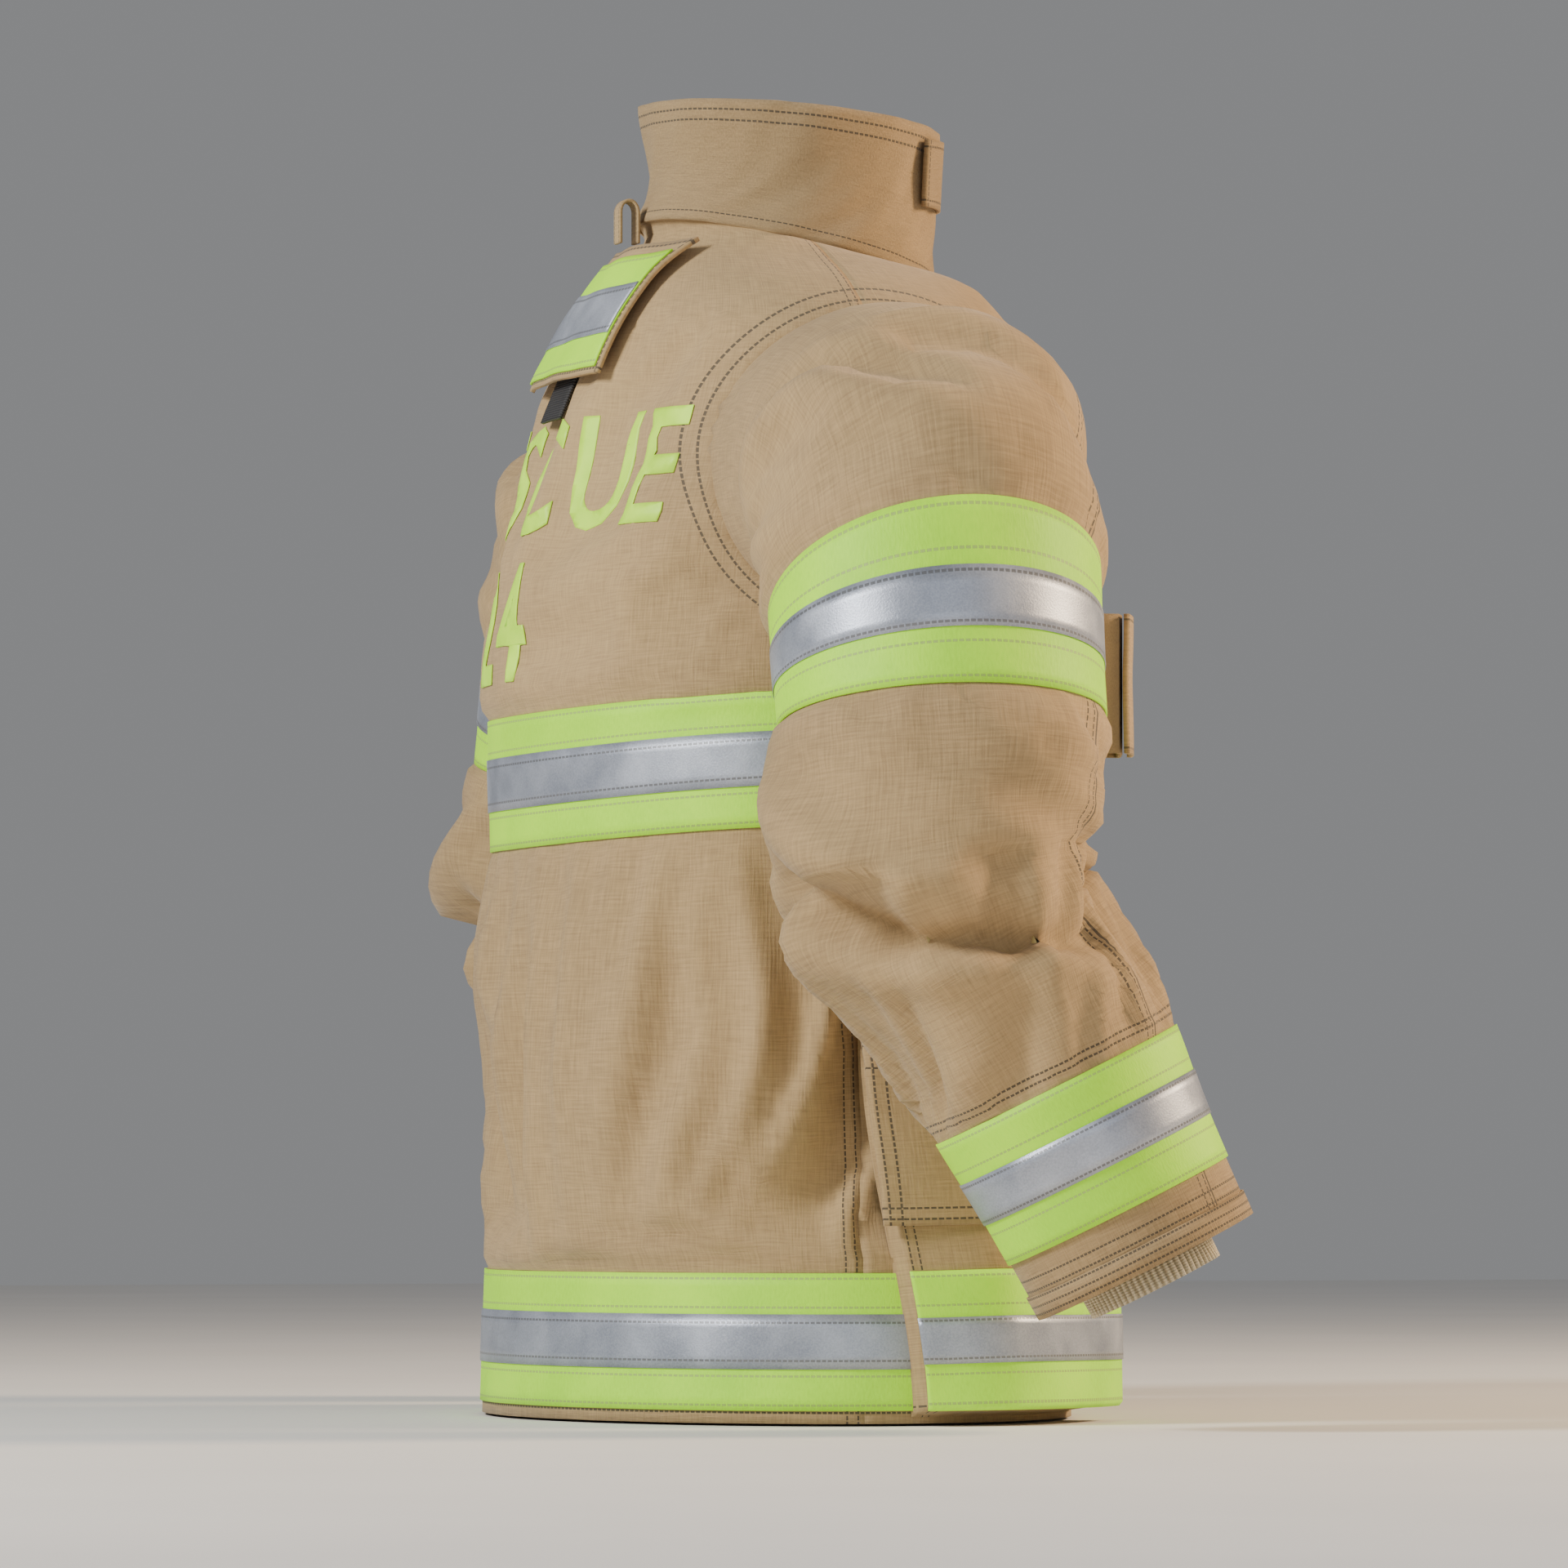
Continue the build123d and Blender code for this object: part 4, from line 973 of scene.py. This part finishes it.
storm_cloth = cloth(
    "storm_pattern", lines([-0.034, 0.062], 0.0048),
    lines([-0.068, -0.299, -0.375, -0.616, -0.689], 0.0060), storm_place, (0, neck_axis_y, -0.38),
)
storm_panel = panel("storm_flap_cloth", storm_cloth, lambda u, v: True, thick=0.0028)


def storm_stitches(f, across, down):
    sewn = f.stitches(across + 0.0305, down).larger(f.stitches(across - 0.0585, down))
    for aside in (across + 0.0060, across - 0.0520):
        sewn = sewn.larger(f.stitches(aside, down))
    return sewn


put_on(tan_cloth("tan_cloth_storm", storm_stitches), storm_panel)
settle_in(storm_panel, "storm_flap", "shell_cloth", "storm_flap")
for name, low in (("storm_chest", -0.375), ("storm_hem", -0.692)):
    tape, stripe = banded(name, storm_cloth, low, low + 0.076)
    settle_in(tape, "storm_flap", "lime_tape", "storm_flap_trim")
    settle_in(stripe, "storm_flap", "silver_stripe", "storm_flap_silver")

# ======================================
# Radio pocket. An upright box of cloth on the left chest, open at the top, with its own flap. Above
# it is a short tab for a microphone's clip.
# ======================================
def pouch_place(low_x, high_x, low_z, high_z, depth):
    """A pouch that stands out from the chest: two sides round a flat face, and open at the top."""
    def place(u, v):
        side = min(1.0, min(u, 1 - u) / 0.08)
        x = (low_x + high_x) / 2 + (high_x - low_x) / 2 * max(-1.0, min(1.0, (u - 0.5) / 0.42))
        z = low_z + (high_z - low_z) * v
        out = 0.0006 + (depth - 0.0006) * side**0.8 * rising(v, 0.0, 0.03)
        return on_front(x, z, out + 0.0014 * side * noise.noise(Vector((u * 4, z * 30, 3.3))))
    return place


radio_place = pouch_place(0.092, 0.150, -0.379, -0.189, 0.0405)
across_box = [0, 0.02, 0.04, 0.06, 0.08] + lines([0.10, 0.90], 0.05) + [0.92, 0.94, 0.96, 0.98, 1]
radio_cloth = cloth(
    "radio_pocket_cloth", across_box, [0, 0.008, 0.016, 0.024, 0.032] + lines([0.05, 1.0], 0.03), radio_place,
    (0.12, neck_axis_y, -0.28),
)
plain_tan = tan_cloth("tan_cloth_plain")
put_on(plain_tan, thicken(radio_cloth, 0.0020))
settle_in(radio_cloth, "coat_body", "shell_cloth", "radio_pocket")


def radio_flap_place(u, v):
    """v goes from the hinge, over the top of the pocket and down its face."""
    way = v * 0.103
    drop = max(0.0, way - 0.0400)
    corner = rising(way, 0.0360, 0.0440)
    z = -0.1850 - drop - 0.0024 * corner * (1 - corner) - 0.0009 * corner
    return on_front(0.0905 + 0.061 * u, z, 0.0050 + min(way, 0.0400) + 0.0012 * rising(drop, 0.0, 0.05))


radio_flap = cloth(
    "radio_flap_cloth", [i / 14 for i in range(15)], [i / 34 for i in range(35)], radio_flap_place,
    (0.12, neck_axis_y, -0.30),
)


def radio_stitches(f, across, down):
    sewn = f.stitches((down - 0.955) * 0.105, across * 0.06)
    for at in (0.06, 0.94):
        sewn = sewn.larger(f.stitches((across - at) * 0.06, down * 0.105))
    return sewn


put_on(tan_cloth("tan_cloth_radio", radio_stitches), thicken(radio_flap, 0.0024))
settle_in(radio_flap, "radio_pocket_flap", "shell_cloth", "radio_pocket_flap")
mic = cloth(
    "mic_tab_cloth", lines([0.086, 0.156], 0.004), lines([-0.122, -0.148], 0.003),
    lambda x, z: on_front(x, z, 0.0018 + 0.0040 * math.cos((x - 0.121) / 0.035 * math.pi / 2)),
    (0.12, neck_axis_y, -0.135),
)


def mic_stitches(f, across, down):
    sewn = f.stitches(abs(across - 0.121) - 0.032, down)
    return sewn.larger(f.stitches(abs(down + 0.135) - 0.0105, across))


put_on(tan_cloth("tan_cloth_mic", mic_stitches), thicken(mic, 0.0022))
settle_in(mic, "coat_body", "shell_cloth", "mic_tab")

# ======================================
# Flashlight strap. A wide strap on the right chest that closes into an upright loop, with black hook
# tape between its two layers. A folded tab above it carries a brass snap hook.
# ======================================
strap_place = pouch_place(-0.116, -0.058, -0.320, -0.240, 0.0355)


def open_strap(u, v):
    """The strap's loop, which is open below as well as above."""
    return strap_place(u, 0.5) + Vector((0, 0, 0.080 * (v - 0.5)))


flash_strap = cloth(
    "flashlight_strap_cloth", across_box, lines([0.0, 1.0], 0.06), open_strap,
    (-0.087, neck_axis_y, -0.28),
)
put_on(plain_tan, thicken(flash_strap, 0.0026))
settle_in(flash_strap, "coat_body", "shell_cloth", "flashlight_strap")
flash_cover = cloth(
    "flashlight_cover_cloth", lines([-0.119, -0.066], 0.0040), lines([-0.240, -0.320], 0.0040),
    lambda x, z: on_front(x, z, 0.0420 + 0.0012 * noise.noise(Vector((x * 30, z * 25, 0.4)))),
    (-0.087, neck_axis_y, -0.28),
)


def cover_stitches(f, across, down):
    sewn = f.stitches(abs(across + 0.0925) - 0.0235, down)
    return sewn.larger(f.stitches(abs(down + 0.280) - 0.0368, across))


put_on(tan_cloth("tan_cloth_cover", cover_stitches), thicken(flash_cover, 0.0030))
settle_in(flash_cover, "coat_body", "shell_cloth", "flashlight_cover")
hook_strap = cloth(
    "hook_tab_webbing", lines([-0.0995, -0.0745], 0.0025), lines([-0.154, -0.188], 0.0020),
    lambda x, z: on_front(x, z, 0.0030 + 0.0085 * rising(-z, 0.158, 0.186)), (-0.087, neck_axis_y, -0.17),
)
put_on(black_webbing, thicken(hook_strap, 0.0024))
settle_in(hook_strap, "coat_body", "black_tape", "hook_tab")

# ======================================
# Lining. Inside the shell hang a thin pale moisture barrier and a quilted thermal liner in the body, and the
# same liner in both sleeves. They show at the hem, the neck and the cuffs.
# ======================================
f = new_finish("barrier_film")
wrinkles = f.cloudy(70.0, 4.0)
barrier_film = f.finish(
    wrinkles.ease(0.2, 0.8).mix((0.50, 0.50, 0.47), (0.70, 0.69, 0.65)), 0.5, wrinkles, 0.0005
)
f = new_finish("quilted_liner")
across, down = f.cut()
quilt = abs(f.math("SINE", (across + down) * 95.0)) * abs(f.math("SINE", (across - down) * 95.0))
nap = f.cloudy(800.0, 2.0)
quilted = f.finish(
    (quilt.ease(0.0, 0.35) * 0.7 + nap * 0.3).mix((0.22, 0.17, 0.06), (0.62, 0.50, 0.20)), 0.8,
    quilt.ease(0.0, 0.5) + nap * 0.1, 0.0022,
)
barrier = panel("barrier_layer", body_cloth, lambda u, v: -0.683 < v < -0.006, -0.0034, 0.0006)
put_on(barrier_film, barrier)
settle_in(barrier, "coat_body", "barrier", "moisture_barrier")
liner = panel("liner_layer", body_cloth, lambda u, v: -0.679 < v < -0.006, -0.0048, 0.0026)
put_on(quilted, liner)
settle_in(liner, "coat_body", "liner", "thermal_liner")
right_liner = panel("right_sleeve_liner", sleeve_cloth, lambda u, v: 0.030 < v < 0.545, -0.0036, 0.0026)
put_on(quilted, right_liner)
left_liner = other_side(right_liner, "left_sleeve_liner")
bend_at_elbow(right_liner, left_liner, "liner", "liner")

# ======================================
# Cuffs. A hard-wearing binding goes round each sleeve's end, with rows of stitches, and inside it a
# ribbed knit wristlet closes on the wrist.
# ======================================
def cuff_rows(f, across, down):
    sewn = f.stitches(down - cuff_end + 0.0030, across)
    for up in (0.0075, 0.0125):
        sewn = sewn.larger(f.stitches(down - cuff_end + up, across))
    return sewn


right_binding = panel(
    "right_cuff_edge", sleeve_cloth, lambda u, v: v > cuff_end - 0.0165, 0.0004, 0.0012, False
)
put_on(tan_cloth("tan_cloth_cuff", cuff_rows), right_binding)
left_binding = other_side(right_binding, "left_cuff_edge")


def wristlet_place(around, way):
    """A tube that narrows from the sleeve's inside to the wrist and ends just beyond the cuff."""
    _, x, y, z, a, b, c, _, _ = sleeve_sections[-1]
    ahead = Vector((a, b, c)).normalized()
    back_way = (Vector((0, 1, 0)) - ahead * ahead.y).normalized()
    inner_way = ahead.cross(back_way)
    angle = around * 2 * math.pi
    narrow = rising(way, -0.050, -0.012)
    radius = 0.0540 - 0.0160 * narrow + 0.0008 * math.cos(angle * 64)
    radius += 0.0012 * noise.noise(Vector((around * 9, way * 60, 5.0)))
    middle = Vector((x, y, z)) + ahead * way
    return middle + back_way * math.cos(angle) * radius + inner_way * math.sin(angle) * radius


right_wristlet = cloth(
    "right_wristlet_knit", [i / 320 for i in range(321)], lines([-0.050, 0.0125], 0.0030),
    wristlet_place,
)
edit(right_wristlet, lambda bm, uv: bmesh.ops.remove_doubles(bm, verts=bm.verts, dist=weld))
thicken(right_wristlet, 0.0016)
f = new_finish("knit")
around, way = f.cut()
loops = f.math("SINE", way * 4200.0) * 0.5 + 0.5
ribs = f.math("COSINE", around * (2 * math.pi * 64)) * 0.5 + 0.5
fuzz = f.cloudy(900.0, 2.0)
knit = f.finish(
    (ribs * 0.5 + fuzz * 0.5).ease(0.15, 0.8).mix((0.30, 0.25, 0.15), (0.62, 0.54, 0.37)), 0.9,
    ribs * 0.4 + loops * 0.4 + fuzz * 0.2, 0.0006, Sheen_Weight=0.3,
)
put_on(knit, right_wristlet)
left_wristlet = other_side(right_wristlet, "left_wristlet_knit")
for side, binding, wristlet in (
    ("right", right_binding, right_wristlet), ("left", left_binding, left_wristlet),
):
    settle_in(binding, f"{side}_forearm", "shell_cloth", f"{side}_cuff_binding")
    settle_in(wristlet, f"{side}_forearm", "knit", f"{side}_wristlet")

# ======================================
# Brass fittings: the snap hook and its gate, and the zipper's slider, pull and teeth. Cast brass,
# dulled by handling.
# ======================================
def brass(name, rough):
    f = new_finish(name)
    tarnish = f.cloudy(140.0, 5.0)
    grain = f.join(*(part * scale for part, scale in zip(f.parts(f.place()), (900, 900, 90))))
    scratches = f.cloudy(1.0, 3.0, grain)
    colour = (tarnish * 0.7 + scratches * 0.3).ease(0.25, 0.8).mix((0.34, 0.20, 0.06), (0.80, 0.56, 0.22))
    return f.finish(colour, tarnish * 0.25 + rough, scratches * 0.5 + tarnish * 0.5, 0.00012, Metallic=1.0)


dull_brass = brass("dull_brass", 0.22)
zip_brass = brass("zip_brass", 0.32)
for finish, *names in (
    (dull_brass, "snap_hook", "snap_gate", "zipper_slider", "zipper_pull"), (zip_brass, "zipper_teeth"),
):
    put_on(finish, *(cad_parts[name] for name in names))

# ======================================
# Black tapes: the zipper's woven tape, and the hook and loop strips that close the storm flap and
# the flashlight strap.
# ======================================
f = new_finish("black_weave")
x, _, z = f.parts(f.place())
twill = f.math("SINE", (x + z) * 3600.0) * 0.5 + 0.5
lint = f.cloudy(90.0, 3.0)
black_weave = f.finish(
    (twill * 0.5 + lint * 0.5).ease(0.2, 0.9).mix((0.010, 0.010, 0.011), (0.045, 0.045, 0.048)),
    0.7, twill, 0.0003,
)
put_on(black_weave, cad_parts["zipper_tapes"])
hook_and_loop = ("front_loop_strip", "storm_flap_hook_strip", "flashlight_hook_tape")
put_on(black_pile, *(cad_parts[name] for name in hook_and_loop))

# ======================================
# The room: a plain pale floor and backdrop, soft lights, and the camera at the wearer's right.
# ======================================
for source in (body_cloth, sleeve_cloth, drag_cloth, pocket_cloth, storm_cloth):
    bpy.data.objects.remove(source)

room = bmesh.new()
bmesh.ops.create_grid(room, x_segments=1, y_segments=1, size=6, matrix=Matrix.Translation((0, 0, -0.7005)))
room_mesh = bpy.data.meshes.new("floor")
room.to_mesh(room_mesh)
room.free()
floor = bpy.data.objects.new("floor", room_mesh)
bpy.context.collection.objects.link(floor)
f = new_finish("pale_floor")
paint = f.cloudy(3.0, 4.0).ease(0.2, 0.8).mix((0.74, 0.735, 0.725), (0.78, 0.775, 0.765))
put_on(f.finish(paint, 0.7), floor)

world = bpy.data.worlds.new("studio")
world.use_nodes = True
world.node_tree.nodes["Background"].inputs["Color"].default_value = (0.80, 0.81, 0.83, 1)
world.node_tree.nodes["Background"].inputs["Strength"].default_value = 0.30
bpy.context.scene.world = world


def softbox(name, spot, aim, size, power, colour):
    lamp = bpy.data.lights.new(name, "AREA")
    lamp.shape, lamp.size, lamp.energy, lamp.color = "SQUARE", size, power, colour
    light = bpy.data.objects.new(name, lamp)
    bpy.context.collection.objects.link(light)
    light.location = spot
    light.rotation_euler = (Vector(aim) - Vector(spot)).to_track_quat("-Z", "Y").to_euler()


middle = (0.0, neck_axis_y, -0.34)
softbox("key", (-0.7, 2.7, 1.3), middle, 0.8, 120, (1.0, 0.97, 0.92))
softbox("front_warm", (-0.5, -2.5, 0.9), middle, 0.7, 110, (1.0, 0.72, 0.44))
softbox("fill", (-3.4, 0.2, 0.6), middle, 2.4, 22, (0.93, 0.96, 1.0))

view = Vector((0.956, -0.292, 0)).normalized()
eye = bpy.data.cameras.new("camera")
eye.lens = 206
camera = bpy.data.objects.new("camera", eye)
bpy.context.collection.objects.link(camera)
camera.location = Vector((0, neck_axis_y, -0.56)) - view * 5.2
target = Vector((0.0, neck_axis_y, -0.335))
camera.rotation_euler = (target - camera.location).to_track_quat("-Z", "Y").to_euler()
bpy.context.scene.camera = camera
